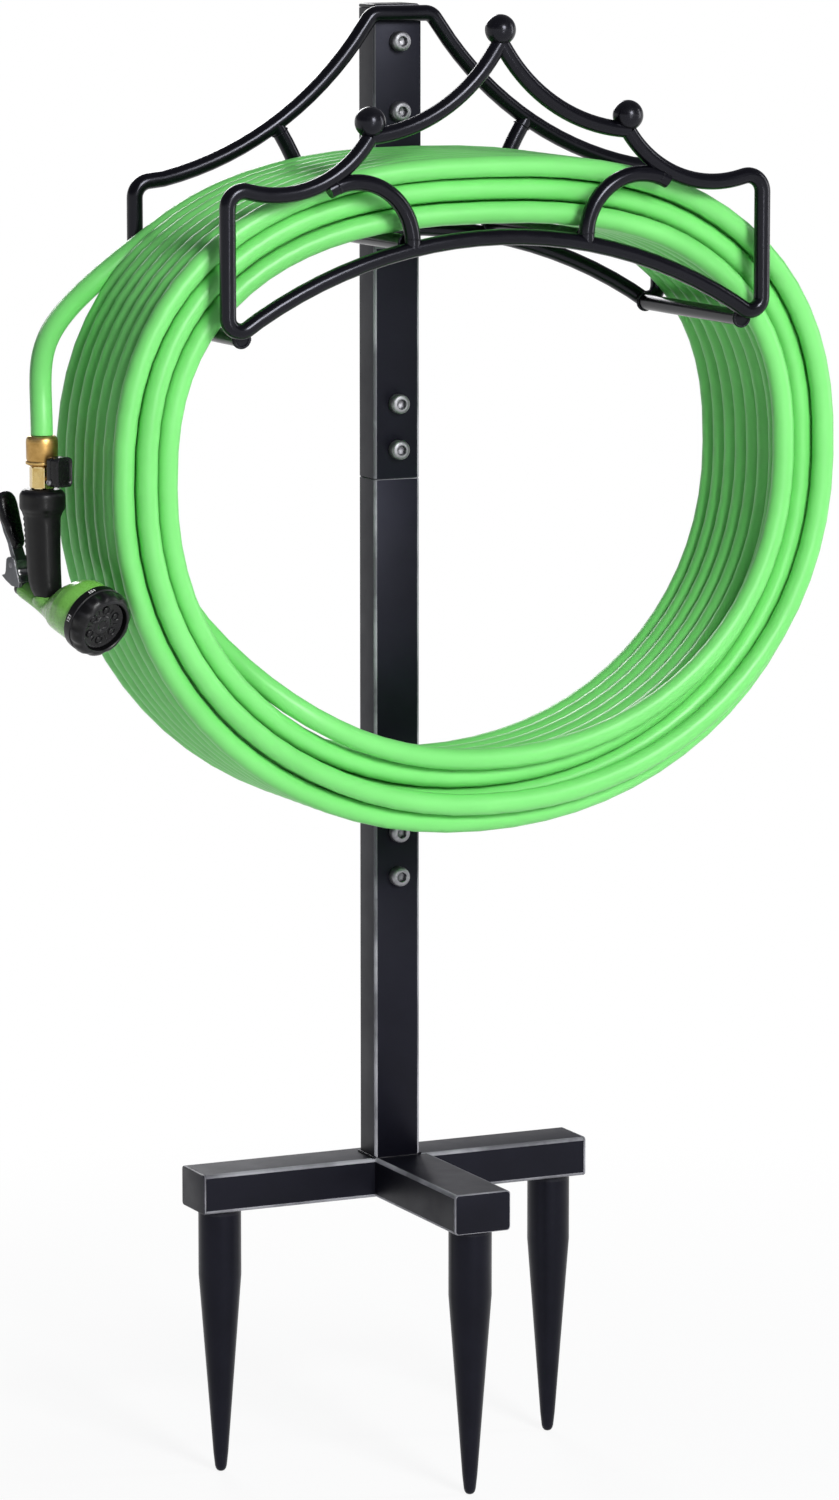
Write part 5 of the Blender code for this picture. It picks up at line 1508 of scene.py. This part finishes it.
        front = bar.along(upright(self.front_points(), self.front_y), paint)
        show_steel("front_bar", front, paint, "front_frame_rod")
        back = bar.along(upright(self.back_points(), self.back_y), paint, closed=True)
        show_steel("back_bar", back, paint, "back_frame_rod")
        brace = arc(self.brace_centre, self.brace_radius, self.brace_foot, self.brace_end)
        pairs = {"swoop": (self.swoop_points(), self.front_y, "swoop_rod"),
                 "front_curl": (brace, self.front_y, "front_brace"),
                 "back_curl": (self.back_brace_points(), self.back_y, "back_brace")}
        for label, (points, depth, node) in pairs.items():
            for side, sign in SIDES:
                path = upright([(sign * x, z) for x, z in points], depth)
                show_steel(f"{side}_{label}", bar.along(path, paint), paint, f"{side}_{node}")
        inset = self.rod / 2 + GAP
        for label, (x, z) in {"saddle": self.saddle, "corner": self.corner}.items():
            for side, sign in SIDES:
                path = [(sign * x, self.front_y + inset, z), (sign * x, self.back_y - inset, z)]
                show_steel(f"{side}_{label}_bar", bar.along(path, paint), paint,
                           f"{side}_{label}_rod")
        for label, (x, z) in {"left": (-self.side_ball[0], self.side_ball[1]),
                              "right": self.side_ball,
                              "centre": (0.0, self.centre_ball_z)}.items():
            show_steel(f"{label}_finial_ball", self.ball_at(x, z), paint, f"{label}_ball")
        self.build_welds(brace)

    def build_welds(self, brace: Sequence[FlatPoint]) -> None:
        """Lay weld beads where the rods and the curls meet both frames.

        Args:
            brace: Right front curl.
        """
        bead = WeldBead(width=0.0030, height=0.0013)
        fine_bead = WeldBead(width=0.0015, height=0.0005)
        meshes = []
        inset = self.rod / 2 + self.bead_inset
        for x, z in (self.saddle, self.corner):
            for sign in (-1, 1):
                for depth in (self.front_y + inset, self.back_y - inset):
                    ring = [(sign * x + across, depth, z + up) for across, up in
                            circle(self.rod / 2 + GAP, 36)]
                    meshes.append(bead.along(ring + ring[:1], self.finishes.rod))
        ends = [(brace[0], brace[1], self.front_y), (brace[-1], brace[-2], self.front_y)]
        back = self.back_brace_points()
        ends += [(back[0], back[1], self.back_y), (back[-1], back[-2], self.back_y)]
        set_off = self.rod / 2 + 2 * self.bead_inset
        for end, before, depth in ends:
            lean = Vector((before[0] - end[0], 0, before[1] - end[1])).normalized()
            for sign in (-1, 1):
                centre = Vector((end[0], depth, end[1])) + lean * set_off
                centre.x *= sign
                frame = axis_matrix(centre, (lean.x * sign, 0, lean.z), (0, 1, 0))
                ring = [tuple(frame @ Vector((across, up, 0))) for across, up in
                        circle(self.rod / 2 + 0.0001, 36)]
                meshes.append(fine_bead.along(ring + ring[:1], self.finishes.rod))
        show_steel("basket_weld_beads", joined(meshes), self.finishes.rod)


def smoothed(rows: Sequence[Sequence[float]], count: int) -> np.ndarray:
    """Run a smooth curve through rows of sizes, by their first column.

    Args:
        rows: Rows in rising order of their first number.
        count: Number of rows to return.

    Returns:
        Evenly spaced rows.
    """
    table = np.array(rows, dtype=float)
    at = table[:, 0]
    slopes = np.gradient(table, at, axis=0)
    result = []
    for place in np.linspace(at[0], at[-1], count):
        index = min(max(int(np.searchsorted(at, place)) - 1, 0), len(at) - 2)
        span = at[index + 1] - at[index]
        share = (place - at[index]) / span
        ease = 3 * share ** 2 - 2 * share ** 3
        row = table[index] * (1 - ease) + table[index + 1] * ease
        row += slopes[index] * span * (share ** 3 - 2 * share ** 2 + share) * SLOPE_SHARE
        row += slopes[index + 1] * span * (share ** 3 - share ** 2) * SLOPE_SHARE
        row[0] = place
        result.append(row)
    return np.array(result)


def plate_between(outline: Sequence[FlatPoint], low: float, high: float, soften: float) -> Mesh:
    """Cut a plate from an outline in the nozzle's upright plane.

    Args:
        outline: Points forward and up.
        low: One side's distance.
        high: The other side's distance.
        soften: Rounding of its edges.

    Returns:
        The mesh.
    """
    rings = [[(x, side, z) for x, z in outline] for side in (low, high)]
    return finished(skinned(rings), soften)


@dataclass
class RingPattern:
    """Repeats one small form round an axis."""

    count: int
    radius: float
    first_turn: float = 0.0

    def around(self, form: Mesh, material: Material) -> Mesh:
        """Set the form round the Z axis with Geometry Nodes.

        Args:
            form: Form at the origin, its X outward.
            material: Its finish.

        Returns:
            The mesh of all copies.
        """
        part = bpy.data.objects.new("repeated_form", form)
        pattern = PatternTree("forms_round_an_axis")
        source = pattern.size("Form", part)
        count = pattern.size("Count", self.count)
        radius = pattern.size("Radius", self.radius)
        first = pattern.size("First Turn", math.radians(self.first_turn))
        finish = pattern.size("Finish", material)
        ring = pattern.step("GeometryNodeMeshCircle", {"Vertices": count, "Radius": radius})
        share = calc(pattern.tree, "DIVIDE", pattern.step("GeometryNodeInputIndex"), count)
        turn = calc(pattern.tree, "MULTIPLY", share, 2 * math.pi)
        copies = pattern.step("GeometryNodeInstanceOnPoints",
                              {"Points": ring, "Instance": pattern.form(source),
                               "Rotation": pattern.step("ShaderNodeCombineXYZ", {"Z": turn})})
        real = pattern.step("GeometryNodeRealizeInstances", {"Geometry": copies})
        whole_turn = pattern.step("ShaderNodeCombineXYZ", {"Z": first})
        set_round = pattern.step("GeometryNodeTransform",
                                 {"Geometry": real, "Rotation": whole_turn})
        pattern.end(set_round, finish)
        mesh = pattern.run([(0, 0, 0)])
        bpy.data.objects.remove(part, do_unlink=True)
        return mesh


@dataclass
class SprayNozzle(Maker):
    """Rear-trigger hose nozzle: brass nut, shut-off valve, moulded grip, trigger and spray head."""

    place: Point = (-0.351, -0.0345, 0.870)
    heading: float = -71.6
    fall: float = 22.0
    nut_diameter: float = 0.0245
    nut_length: float = 0.0226
    valve_flats: float = 0.0178
    valve_length: float = 0.0177
    stem_diameter: float = 0.006
    knob_standoff: float = 0.0134
    knob_depth: float = 0.014
    knob_width: float = 0.016
    knob_height: float = 0.023
    knob_screw_radius: float = 0.0024
    grip_length: float = 0.084
    teeth: int = 6
    tooth_pitch: float = 0.0042
    tooth_start: float = 0.0214
    tooth_depth: float = 0.0013
    tooth_base: float = 0.0003
    tooth_edge: float = 0.55
    tooth_fade: float = 5.0
    panel_cut: float = 0.105
    panel_start: float = 0.017
    panel_ease: float = 0.014
    panel_slant: FlatPoint = (0.69, 0.72)
    panel_reach: float = 1.18
    pivot: FlatPoint = (-0.0285, -0.1015)
    trigger_width: float = 0.011
    trigger_hub: float = 0.0042
    pad_squareness: float = 0.85
    pad_lean: float = 0.25
    cheek: float = 0.0025
    pin_diameter: float = 0.004
    pin_length: float = 0.0175
    barrel_start: FlatPoint = (-0.0245, -0.1195)
    pipe: float = 0.013
    bell: float = 0.050
    bell_length: float = 0.080
    bell_rise: float = 0.017
    dial: float = 0.054
    dial_length: float = 0.0185
    face: float = 0.040
    face_recess: float = 0.0035
    lobes: int = 10
    lobe_depth: float = 0.0013
    jets: int = 6
    jet_ring: float = 0.62
    squareness: float = 0.78

    def frame(self) -> Matrix:
        """Return the nozzle's frame: X toward the jet, Z up, origin at the nut's top."""
        turn = Matrix.Rotation(math.radians(self.heading), 4, "Z")
        return Matrix.Translation(self.place) @ turn

    def barrel(self) -> Matrix:
        """Return the barrel's frame: Z along the jet, X up and forward."""
        fall = math.radians(self.fall)
        start = (self.barrel_start[0], 0, self.barrel_start[1])
        inner = axis_matrix(start, (math.cos(fall), 0, -math.sin(fall)),
                            (math.sin(fall), 0, math.cos(fall)))
        return self.frame() @ inner

    def build(self) -> list[str]:
        """Make the nozzle.

        Returns:
            Names of all its pieces.
        """
        pieces = self.nut_and_valve() + self.grip() + self.trigger()
        pieces += self.body() + self.spray_dial()
        return [piece.name for piece in pieces]

    def nut_and_valve(self) -> list[Object]:
        """Make the coupling nut, the hexagon valve body, its stem and its knob.

        Returns:
            The pieces.
        """
        frame, low, radius = self.frame(), -self.nut_length, self.nut_diameter / 2
        profile = [(0, low), (radius * 0.84, low), (radius * 0.90, low + 0.0004),
                   (radius * 1.01, low + 0.0010), (radius * 1.03, low + 0.0016),
                   (radius * 1.03, low + 0.0026), (radius * 1.01, low + 0.0031),
                   (radius * 0.955, low + 0.0036), (radius * 0.955, low + 0.0043),
                   (radius * 0.985, low + 0.0049), (radius, -0.0050), (radius * 0.985, -0.0028),
                   (radius * 0.93, -0.0012), (radius * 0.86, -0.0004), (radius * 0.80, 0),
                   (radius * 0.72, 0), (0, 0)]
        nut = show("hose_coupling_nut", placed(turned(profile, 72), frame), self.finishes.brass,
                   Body.HOSE, ["coupling_nut"])
        top = low - GAP
        bottom, middle = top - self.valve_length, top - self.valve_length / 2
        count = 96
        edge = hexagon(self.valve_flats, count, 30)
        rim = circle(self.valve_flats * 0.535, count, 30)
        chamfer = [tuple(Vector(corner).normalized()
                         * min(Vector(corner).length, Vector(round_off).length))
                   for corner, round_off in zip(edge, rim)]
        rings = [lifted(chamfer, bottom, 0.93), lifted(chamfer, bottom + 0.0005),
                 lifted(edge, bottom + 0.0013), lifted(edge, top - 0.0013),
                 lifted(chamfer, top - 0.0005), lifted(chamfer, top, 0.93)]
        body = placed(with_axial(finished(skinned(rings))), frame)
        valve = show("hexagon_valve_body", body, self.finishes.bright_brass, Body.HOSE,
                     ["valve_body"], smooth_angle=20)
        side = frame @ axis_matrix((0, 0, middle), (1, 0, 0), (0, 0, 1))
        reach = self.knob_standoff + self.knob_depth * 0.6
        stem_radius = self.stem_diameter / 2
        profile = [(0, 0.0043), (stem_radius, 0.0043), (stem_radius, 0.0098),
                   (stem_radius * 0.8, 0.0102), (stem_radius * 0.8, 0.0110), (stem_radius, 0.0114),
                   (stem_radius, reach), (0, reach)]
        stem = show("valve_spindle", placed(turned(profile, 40), side), self.finishes.bright_brass,
                    Body.VALVE, ["valve_stem"])
        handle = show("valve_knob", placed(self.knob(), side), self.finishes.knob, Body.VALVE,
                      ["valve_lever"])
        radius = self.knob_screw_radius
        profile = [(0, 0), (radius, 0), (radius, 0.0009), (radius * 0.7, 0.0017),
                   (radius * 0.35, 0.0017), (radius * 0.30, 0.0009), (0, 0.0009)]
        seat = frame @ axis_matrix((0.0178, -self.knob_width / 2, middle - 0.0022), (0, -1, 0))
        screw = show("knob_screw", placed(turned(profile, 28), seat), self.finishes.zinc,
                     Body.VALVE)
        return [nut, valve, stem, handle, screw]

    def knob(self) -> Mesh:
        """Make the blocky knob, waisted above its foot and dished on its outer face."""
        low, depth = self.knob_standoff, self.knob_depth
        centre = self.knob_height / 2 - 0.006
        rows = [(0, 0.86, 0.84), (0.0008, 0.97, 0.96), (0.0022, 1.0, 1.0), (0.0050, 1.0, 1.0),
                (0.0056, 0.955, 0.93), (0.0064, 0.955, 0.93), (0.0070, 1.0, 1.0),
                (depth - 0.0020, 1.0, 1.0), (depth - 0.0008, 0.97, 0.955),
                (depth - 0.0001, 0.90, 0.86), (depth - 0.0004, 0.80, 0.74),
                (depth - 0.0014, 0.72, 0.62)]
        outline = rounded_rectangle(self.knob_height, self.knob_width, 0.0034, 7)
        rings = [[(centre + x * wide, y * deep, low + height) for x, y in outline]
                 for height, wide, deep in rows]
        return finished(skinned(rings))

    def grip(self) -> list[Object]:
        """Mould the grip: chamfered collar, rear teeth, side panels with a crisp line, round foot.

        Returns:
            The grip in a list.
        """
        top = -self.nut_length - self.valve_length - 2 * GAP
        sections = [(0.000, 0.0, 0.0128, 0.0128), (0.0012, 0.0, 0.0146, 0.0144),
                    (0.004, 0.0, 0.0164, 0.0159), (0.009, 0.0, 0.0166, 0.0161),
                    (0.0145, 0.0, 0.0165, 0.0160), (0.0180, -0.0002, 0.0150, 0.0141),
                    (0.021, -0.0005, 0.0142, 0.0128), (0.030, -0.0002, 0.0139, 0.0120),
                    (0.040, 0.0, 0.0138, 0.0116), (0.058, 0.001, 0.0132, 0.0112),
                    (0.070, 0.002, 0.0128, 0.0110), (0.0765, 0.0035, 0.0118, 0.0104),
                    (0.081, 0.0046, 0.0102, 0.0093), (self.grip_length, 0.005, 0.0080, 0.0074)]
        rings, first = [], self.tooth_start
        slant_x, slant_y = self.panel_slant
        for drop, centre, half_x, half_y in smoothed(sections, 150):
            eased = min(max((drop - self.panel_start) / self.panel_ease, 0.0), 1.0)
            cut = 1.0 - self.panel_cut * eased
            toothed = first < drop < first + self.teeth * self.tooth_pitch
            phase = (drop - first) / self.tooth_pitch % 1.0
            whole = half_y * slant_y + half_x * slant_x
            ring = []
            for cosine, sine in circle(1.0, 96):
                x = half_x * math.copysign(abs(cosine) ** self.squareness, cosine)
                y = half_y * math.copysign(abs(sine) ** self.squareness, sine)
                reach = (abs(y) * slant_y - x * slant_x) / whole * self.panel_reach
                if reach > cut:
                    x, y = x * cut / reach, y * cut / reach
                if toothed and cosine < -self.tooth_edge:
                    fade = min(1.0, (-self.tooth_edge - cosine) * self.tooth_fade)
                    x -= self.tooth_depth * (1 - abs(2 * phase - 1)) * fade - self.tooth_base
                ring.append((centre + x, y, top - drop))
            rings.append(ring)
        rings.reverse()
        mesh = placed(finished(skinned(rings)), self.frame())
        return [show("moulded_grip", mesh, self.finishes.polymer, Body.HOSE,
                     ["grip_handle"], smooth_angle=24)]

    def trigger(self) -> list[Object]:
        """Make the enamelled lever with its pad, the forked bracket, the pin and the heel plug.

        Returns:
            The pieces.
        """
        frame = self.frame()
        pivot = frame @ Matrix.Translation((self.pivot[0], 0, self.pivot[1]))
        half, hub = self.trigger_width / 2, self.trigger_hub
        route = smoothed([(0.0034, 0.0, 0.0026), (0.014, -0.004, 0.0022), (0.027, -0.0115, 0.0015),
                          (0.040, -0.018, 0.0013), (0.050, -0.0215, 0.0011)], 24)
        left = [(x - wide, z) for z, x, wide in route]
        right = [(x + wide, z) for z, x, wide in route]
        spine = plate_between(left + list(reversed(right)), -half, half, 0.0004)
        across = axis_matrix((0, 0, 0), (0, 1, 0), (1, 0, 0))
        bore = self.pin_diameter / 2 + 2 * GAP
        ring = [(bore, -half), (hub - 0.0004, -half), (hub, -half + 0.0004), (hub, half - 0.0004),
                (hub - 0.0004, half), (bore, half), (bore, -half)]
        lever = joined([spine, placed(turned(ring, 40), across)])
        lever = show("trigger_spine", placed(lever, pivot), self.finishes.grey, Body.TRIGGER,
                     ["trigger_lever"])
        pad = show("trigger_thumb_pad", placed(self.pad(), pivot), self.finishes.knob, Body.TRIGGER,
                   ["trigger_pad"])
        inner = half + 2 * GAP
        outer = inner + self.cheek
        cheek = [(-0.0052, 0.0045), (-0.0030, 0.0062), (0.0010, 0.0068), (0.0042, 0.0050),
                 (0.0060, -0.002), (0.0100, -0.0125), (0.0094, -0.0166), (0.0010, -0.0160),
                 (-0.0060, -0.0122), (-0.0110, -0.0085), (-0.0072, -0.0072), (-0.0062, -0.0050)]
        block = [(0.0081, -0.0075), (0.0100, -0.0125), (0.0094, -0.0166), (0.0010, -0.0160),
                 (-0.0060, -0.0122), (-0.0110, -0.0085), (-0.0096, -0.0075)]
        fork = [plate_between(cheek, sign * inner, sign * outer, 0.0005) for sign in (-1, 1)]
        fork.append(plate_between(block, -inner, inner, 0.0003))
        bracket = show("trigger_fork", placed(joined(fork), pivot), self.finishes.grey, Body.HOSE,
                       ["trigger_bracket"])
        reach, radius = self.pin_length / 2, self.pin_diameter / 2
        profile = [(0, -reach), (radius * 0.9, -reach), (radius * 1.35, -reach + 0.0004),
                   (radius * 1.35, -reach + 0.0006), (radius, -reach + 0.0007),
                   (radius, reach - 0.0007), (radius * 1.35, reach - 0.0006),
                   (radius * 1.35, reach - 0.0004), (radius * 0.9, reach), (0, reach)]
        pin = show("rivet_pin", placed(turned(profile, 32), pivot @ across), self.finishes.zinc,
                   Body.HOSE, ["trigger_pin"])
        radius = self.pipe / 2
        profile = [(0, -0.0062), (radius * 0.42, -0.0060), (radius * 0.62, -0.0050),
                   (radius * 0.66, -0.0034), (radius * 0.92, -0.0030), (radius * 0.97, -0.0022),
                   (radius * 0.97, 0.0012), (0, 0.0012)]
        plug = show("heel_plug", placed(turned(profile, 40), self.barrel()), self.finishes.knob,
                    Body.HOSE)
        return [lever, pad, bracket, pin, plug]

    def pad(self) -> Mesh:
        """Make the broad pad, rounded at its top and drawn in at its foot."""
        rows = smoothed([(0.0120, -0.0010, 0.0012, 0.0040), (0.0155, -0.0010, 0.0030, 0.0056),
                         (0.027, -0.0058, 0.0040, 0.0076), (0.037, -0.0106, 0.0046, 0.0090),
                         (0.044, -0.0134, 0.0048, 0.0094), (0.049, -0.0151, 0.0046, 0.0088),
                         (0.0525, -0.0163, 0.0038, 0.0070), (0.0545, -0.0169, 0.0024, 0.0042),
                         (0.0552, -0.0171, 0.0010, 0.0016)], 44)
        rings = []
        for height, x, thick, wide in rows:
            ring = []
            for cosine, sine in circle(1.0, 40):
                deep = thick * math.copysign(abs(cosine) ** self.pad_squareness, cosine)
                side = wide * math.copysign(abs(sine) ** self.pad_squareness, sine)
                ring.append((x + deep, side, height + self.pad_lean * deep))
            rings.append(ring)
        return finished(skinned(rings))

    def body(self) -> list[Object]:
        """Mould the green body: heel pipe, saddle under the grip and the bell.

        Returns:
            The pieces.
        """
        pipe, bell = self.pipe / 2, self.bell / 2
        rows = smoothed([(0.0, pipe * 0.94, 0.0), (0.0015, pipe, 0.0), (0.012, pipe * 1.03, 0.0),
                         (0.022, pipe * 1.07, 0.01), (0.034, pipe * 1.38, 0.10),
                         (0.044, pipe * 2.22, 0.40), (0.052, bell * 0.80, 0.66),
                         (0.060, bell * 0.93, 0.87), (0.068, bell * 0.99, 0.98),
                         (self.bell_length - 0.002, bell, 1.0),
                         (self.bell_length - 0.0006, bell, 1.0),
                         (self.bell_length, bell * 0.985, 1.0)], 90)
        rings = [lifted(circle(radius, 72), along, shift=(rise * self.bell_rise, 0.0))
                 for along, radius, rise in rows]
        shell = placed(finished(skinned(rings)), self.barrel())
        top = -self.nut_length - self.valve_length - 2 * GAP - self.grip_length
        rows = smoothed([(0.0, 0.0050, 0.0098, 0.0090), (0.0008, 0.0050, 0.0108, 0.0099),
                         (0.0030, 0.0048, 0.0122, 0.0102), (0.0065, 0.0040, 0.0140, 0.0094),
                         (0.0100, 0.0030, 0.0155, 0.0078)], 16)
        rings = []
        for drop, centre, half_x, half_y in rows:
            height = top + 0.0022 - drop
            rings.append([(centre + half_x * cosine, half_y * sine,
                           height - 0.4 * half_x * cosine * min(drop / 0.008, 1.0))
                          for cosine, sine in circle(1.0, 64)])
        rings.reverse()
        saddle = placed(finished(skinned(rings)), self.frame())
        body = joined([shell, saddle])
        return [show("green_spray_body", body, self.finishes.green, Body.HOSE,
                     ["spray_body"])]

    def spray_dial(self) -> list[Object]:
        """Make the turning dial with its marked band and ribs, and the face with its jets.

        Returns:
            The pieces.
        """
        frame = self.barrel() @ Matrix.Translation((self.bell_rise, 0, self.bell_length + GAP))
        outer, face, length = self.dial / 2, self.face / 2, self.dial_length
        band = length * 0.36
        rows = [(0.0, outer - 0.0012, 0.0), (0.0006, outer - 0.0003, 0.0),
                (0.0014, outer - 0.0002, 0.0), (band, outer - 0.0002, 0.0),
                (band + 0.0006, outer - 0.0010, 0.0), (band + 0.0013, outer - 0.0006, 0.6),
                (band + 0.0030, outer, 1.0), (length - 0.0052, outer - 0.0006, 1.0),
                (length - 0.0022, outer - 0.0020, 0.7), (length - 0.0006, outer - 0.0042, 0.2),
                (length, outer - 0.0054, 0.0), (length, face + 0.0006, 0.0),
                (length - 0.0006, face, 0.0), (length - self.face_recess - 0.0042, face, 0.0)]
        rings, count = [], 160
        for along, radius, lobe in rows:
            ring = []
            for index in range(count):
                angle = 2 * math.pi * index / count
                wave = 0.5 + 0.5 * math.cos(self.lobes * angle)
                reach = radius - lobe * self.lobe_depth * (1 - min(1.0, wave * 1.6)) ** 1.5
                ring.append((reach * math.cos(angle), reach * math.sin(angle), along))
            rings.append(ring)
        dial = show("ribbed_spray_dial", placed(finished(skinned(rings)), frame),
                    self.finishes.polymer, Body.DIAL, ["spray_dial"], smooth_angle=30)
        base = length - self.face_recess - 0.004 + GAP
        profile = [(0, base), (face - GAP, base), (face - GAP, base + 0.0026),
                   (face * 0.93, base + 0.0032), (face * 0.86, base + 0.0026),
                   (face * 0.40, base + 0.0026), (face * 0.36, base + 0.0034),
                   (face * 0.30, base + 0.0036), (face * 0.22, base + 0.0034),
                   (face * 0.16, base + 0.0022), (0, base + 0.0022)]
        disc = turned(profile, 96)
        cup_radius = face * 0.165
        cup = turned([(0, 0), (cup_radius, 0), (cup_radius, 0.0009), (cup_radius * 0.86, 0.0013),
                      (cup_radius * 0.74, 0.0010), (cup_radius * 0.66, 0.0003), (0, 0.0003)], 28)
        cups = RingPattern(self.jets, face * self.jet_ring).around(cup, self.finishes.knob)
        cups.transform(Matrix.Translation((0, 0, base + 0.0024)))
        outline = rounded_rectangle(0.0042, 0.0007, 0.0003, 3)
        rib = finished(skinned([lifted(outline, 0), lifted(outline, 0.0007, 0.9)]))
        ribs = RingPattern(self.jets, face * self.jet_ring, 30.0).around(rib, self.finishes.knob)
        ribs.transform(Matrix.Translation((0, 0, base + 0.0024)))
        front = show("jet_face", placed(joined([disc, cups, ribs]), frame), self.finishes.knob,
                     Body.DIAL, ["spray_face"])
        marks = self.band_marks(outer - 0.0002, band)
        printed = show("white_band_marks", placed(marks, frame), self.finishes.ink, Body.DIAL)
        return [dial, front, printed]

    def band_marks(self, radius: float, band: float) -> Mesh:
        """Print plain setting marks on the dial's band: bars at each stop and one blank patch.

        Args:
            radius: Radius of the band.
            band: Width of the band.

        Returns:
            The mesh of all marks.
        """
        def patch(first: float, last: float, low: float, high: float) -> Mesh:
            """Make a thin print on the band between two angles in degrees and two heights."""
            steps = max(1, math.ceil((last - first) / 2))
            turns = [math.radians(first + (last - first) * index / steps)
                     for index in range(steps + 1)]
            rings = []
            for reach in (radius - 0.0001, radius + 0.00006):
                edge = [(reach * math.cos(turn), reach * math.sin(turn)) for turn in turns]
                rings.append(lifted(edge, low) + lifted(edge[::-1], high))
            return finished(skinned(rings))

        low, high = band * 0.34, band * 0.74
        bars = joined([patch(-5.2, -3.6, low, high),
                       patch(-1.4, 2.4, low, low + (high - low) * 0.36),
                       patch(-1.4, 2.4, high - (high - low) * 0.36, high),
                       patch(4.4, 6.0, low, high)])
        stops = RingPattern(self.jets, 0.00001, 22.0).around(bars, self.finishes.ink)
        blank = patch(196.0, 218.0, band * 0.16, band * 0.88)
        return joined([stops, blank])


@dataclass
class Studio:
    """Plain pale floor, soft lamps and the camera at the photograph's place."""

    eye: Point = (-2.150, -4.5295, 1.386)
    tilt: float = 81.08
    turn: float = -25.22
    lens: float = 152.9
    sensor: float = 36.0
    aim: Point = (0, 0, 0.75)
    room_colour: str = "#efeeff"
    room_strength: float = 0.21
    cove_rise: FlatPoint = (0.12, 0.17)
    shadow_reach: FlatPoint = (0.3, 1.3)
    shadow_white: float = 0.88
    floor_half: float = 14.0

    def seen(self, tree: NodeTree) -> NodeSocket:
        """Return one for camera, transmission and glossy rays, else zero."""
        rays = add_node(tree, "ShaderNodeLightPath").outputs
        seen = calc(tree, "MAXIMUM", rays["Is Camera Ray"], rays["Is Transmission Ray"])
        return calc(tree, "MAXIMUM", seen, rays["Is Glossy Ray"])

    def camera(self) -> None:
        """Set the camera."""
        data = bpy.data.cameras.new("photo_camera")
        data.sensor_width = self.sensor
        data.lens = self.lens
        camera = linked("photo_camera", data)
        camera.location = self.eye
        camera.rotation_euler = (math.radians(self.tilt), 0, math.radians(self.turn))
        bpy.context.scene.camera = camera

    def lamp(self, name: str, place: Point, size: FlatPoint, power: float) -> None:
        """Add a soft box that faces the middle of the stand.

        Args:
            name: Name of the lamp.
            place: Where it stands.
            size: Width and height.
            power: Power in watts.
        """
        data = bpy.data.lights.new(name, "AREA")
        data.shape = "RECTANGLE"
        data.size, data.size_y = size
        data.energy = power
        lamp = linked(name, data)
        lamp.location = place
        aim = Vector(self.aim) - Vector(place)
        lamp.rotation_euler = aim.to_track_quat("-Z", "Y").to_euler()

    def world(self) -> None:
        """Light softly from all round, and show a white cove under a dim ceiling past the floor."""
        world = bpy.data.worlds.new("white_room")
        bpy.context.scene.world = world
        world.use_nodes = True
        tree = world.node_tree
        tree.nodes.clear()
        way = add_node(tree, "ShaderNodeTexCoord").outputs["Generated"]
        rise = add_node(tree, "ShaderNodeSeparateXYZ", {0: way}).outputs["Z"]
        cove = mapped(tree, rise, *self.cove_rise, 1.0, 0.0)
        seen = calc(tree, "MULTIPLY", self.seen(tree), cove)
        light = add_node(tree, "ShaderNodeBackground",
                         {"Color": linear(self.room_colour), "Strength": self.room_strength})
        shown = add_node(tree, "ShaderNodeBackground",
                         {"Color": linear("#ffffff"), "Strength": 1.0})
        both = add_node(tree, "ShaderNodeMixShader",
                        {0: seen, 1: light.outputs[0], 2: shown.outputs[0]})
        add_node(tree, "ShaderNodeOutputWorld", {"Surface": both.outputs[0]})

    def paper(self) -> Material:
        """Make white paper: matt, and seen as white away from the shadow at the stakes.

        Returns:
            The new material.
        """
        material = Finish("matt_white_paper", "#f6f6f6", "#f2f2f2", 0.9, 0.05, 400, 3.0,
                          0.05).build()
        tree = material.node_tree
        shader = next(node for node in tree.nodes if node.type == "BSDF_PRINCIPLED")
        out = next(node for node in tree.nodes if node.type == "OUTPUT_MATERIAL")
        place = add_node(tree, "ShaderNodeTexCoord").outputs["Object"]
        reach = add_node(tree, "ShaderNodeVectorMath", {0: place},
                         operation="LENGTH").outputs["Value"]
        fade = mapped(tree, reach, *self.shadow_reach, self.shadow_white, 1.0)
        share = calc(tree, "MULTIPLY", self.seen(tree), fade)
        white = add_node(tree, "ShaderNodeEmission", {"Color": linear("#ffffff"), "Strength": 1.0})
        mix = add_node(tree, "ShaderNodeMixShader",
                       {0: share, 1: shader.outputs[0], 2: white.outputs[0]})
        tree.links.new(mix.outputs[0], out.inputs["Surface"])
        return material

    def floor(self) -> None:
        """Lay a wide pale floor."""
        half = self.floor_half
        mesh = bpy.data.meshes.new("floor")
        corners = [(-half, -half, 0), (half, -half, 0), (half, half, 0), (-half, half, 0)]
        mesh.from_pydata(corners, [], [(0, 1, 2, 3)])
        mesh.materials.append(self.paper())
        floor = linked("pale_floor", mesh)

    def build(self) -> None:
        """Set the whole studio."""
        self.camera()
        self.world()
        self.floor()
        self.lamp("front_softbox", (0.2, -3.6, 2.5), (1.0, 1.2), 132)
        self.lamp("front_strip", (-0.12, -3.6, 1.0), (0.25, 2.0), 22)
        self.lamp("right_strip", (3.0, -0.9, 1.4), (0.5, 2.4), 26)
        self.lamp("back_softbox", (0.6, 3.6, 2.2), (1.4, 1.4), 45)
        bpy.context.scene.view_settings.view_transform = "Standard"


def main() -> None:
    """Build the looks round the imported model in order."""
    logging.basicConfig(level=logging.INFO, format="%(message)s")
    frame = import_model()
    Studio().build()
    finishes = Finishes()
    carried = SprayNozzle(finishes).build()
    HoseRun(finishes).build(carried)
    PostColumn(finishes).build(frame)
    Foot(finishes).build()
    MountingPlate(finishes).build()
    SocketScrews(finishes).build(frame)
    RodBasket(finishes).build()


if __name__ == "__main__":
    main()
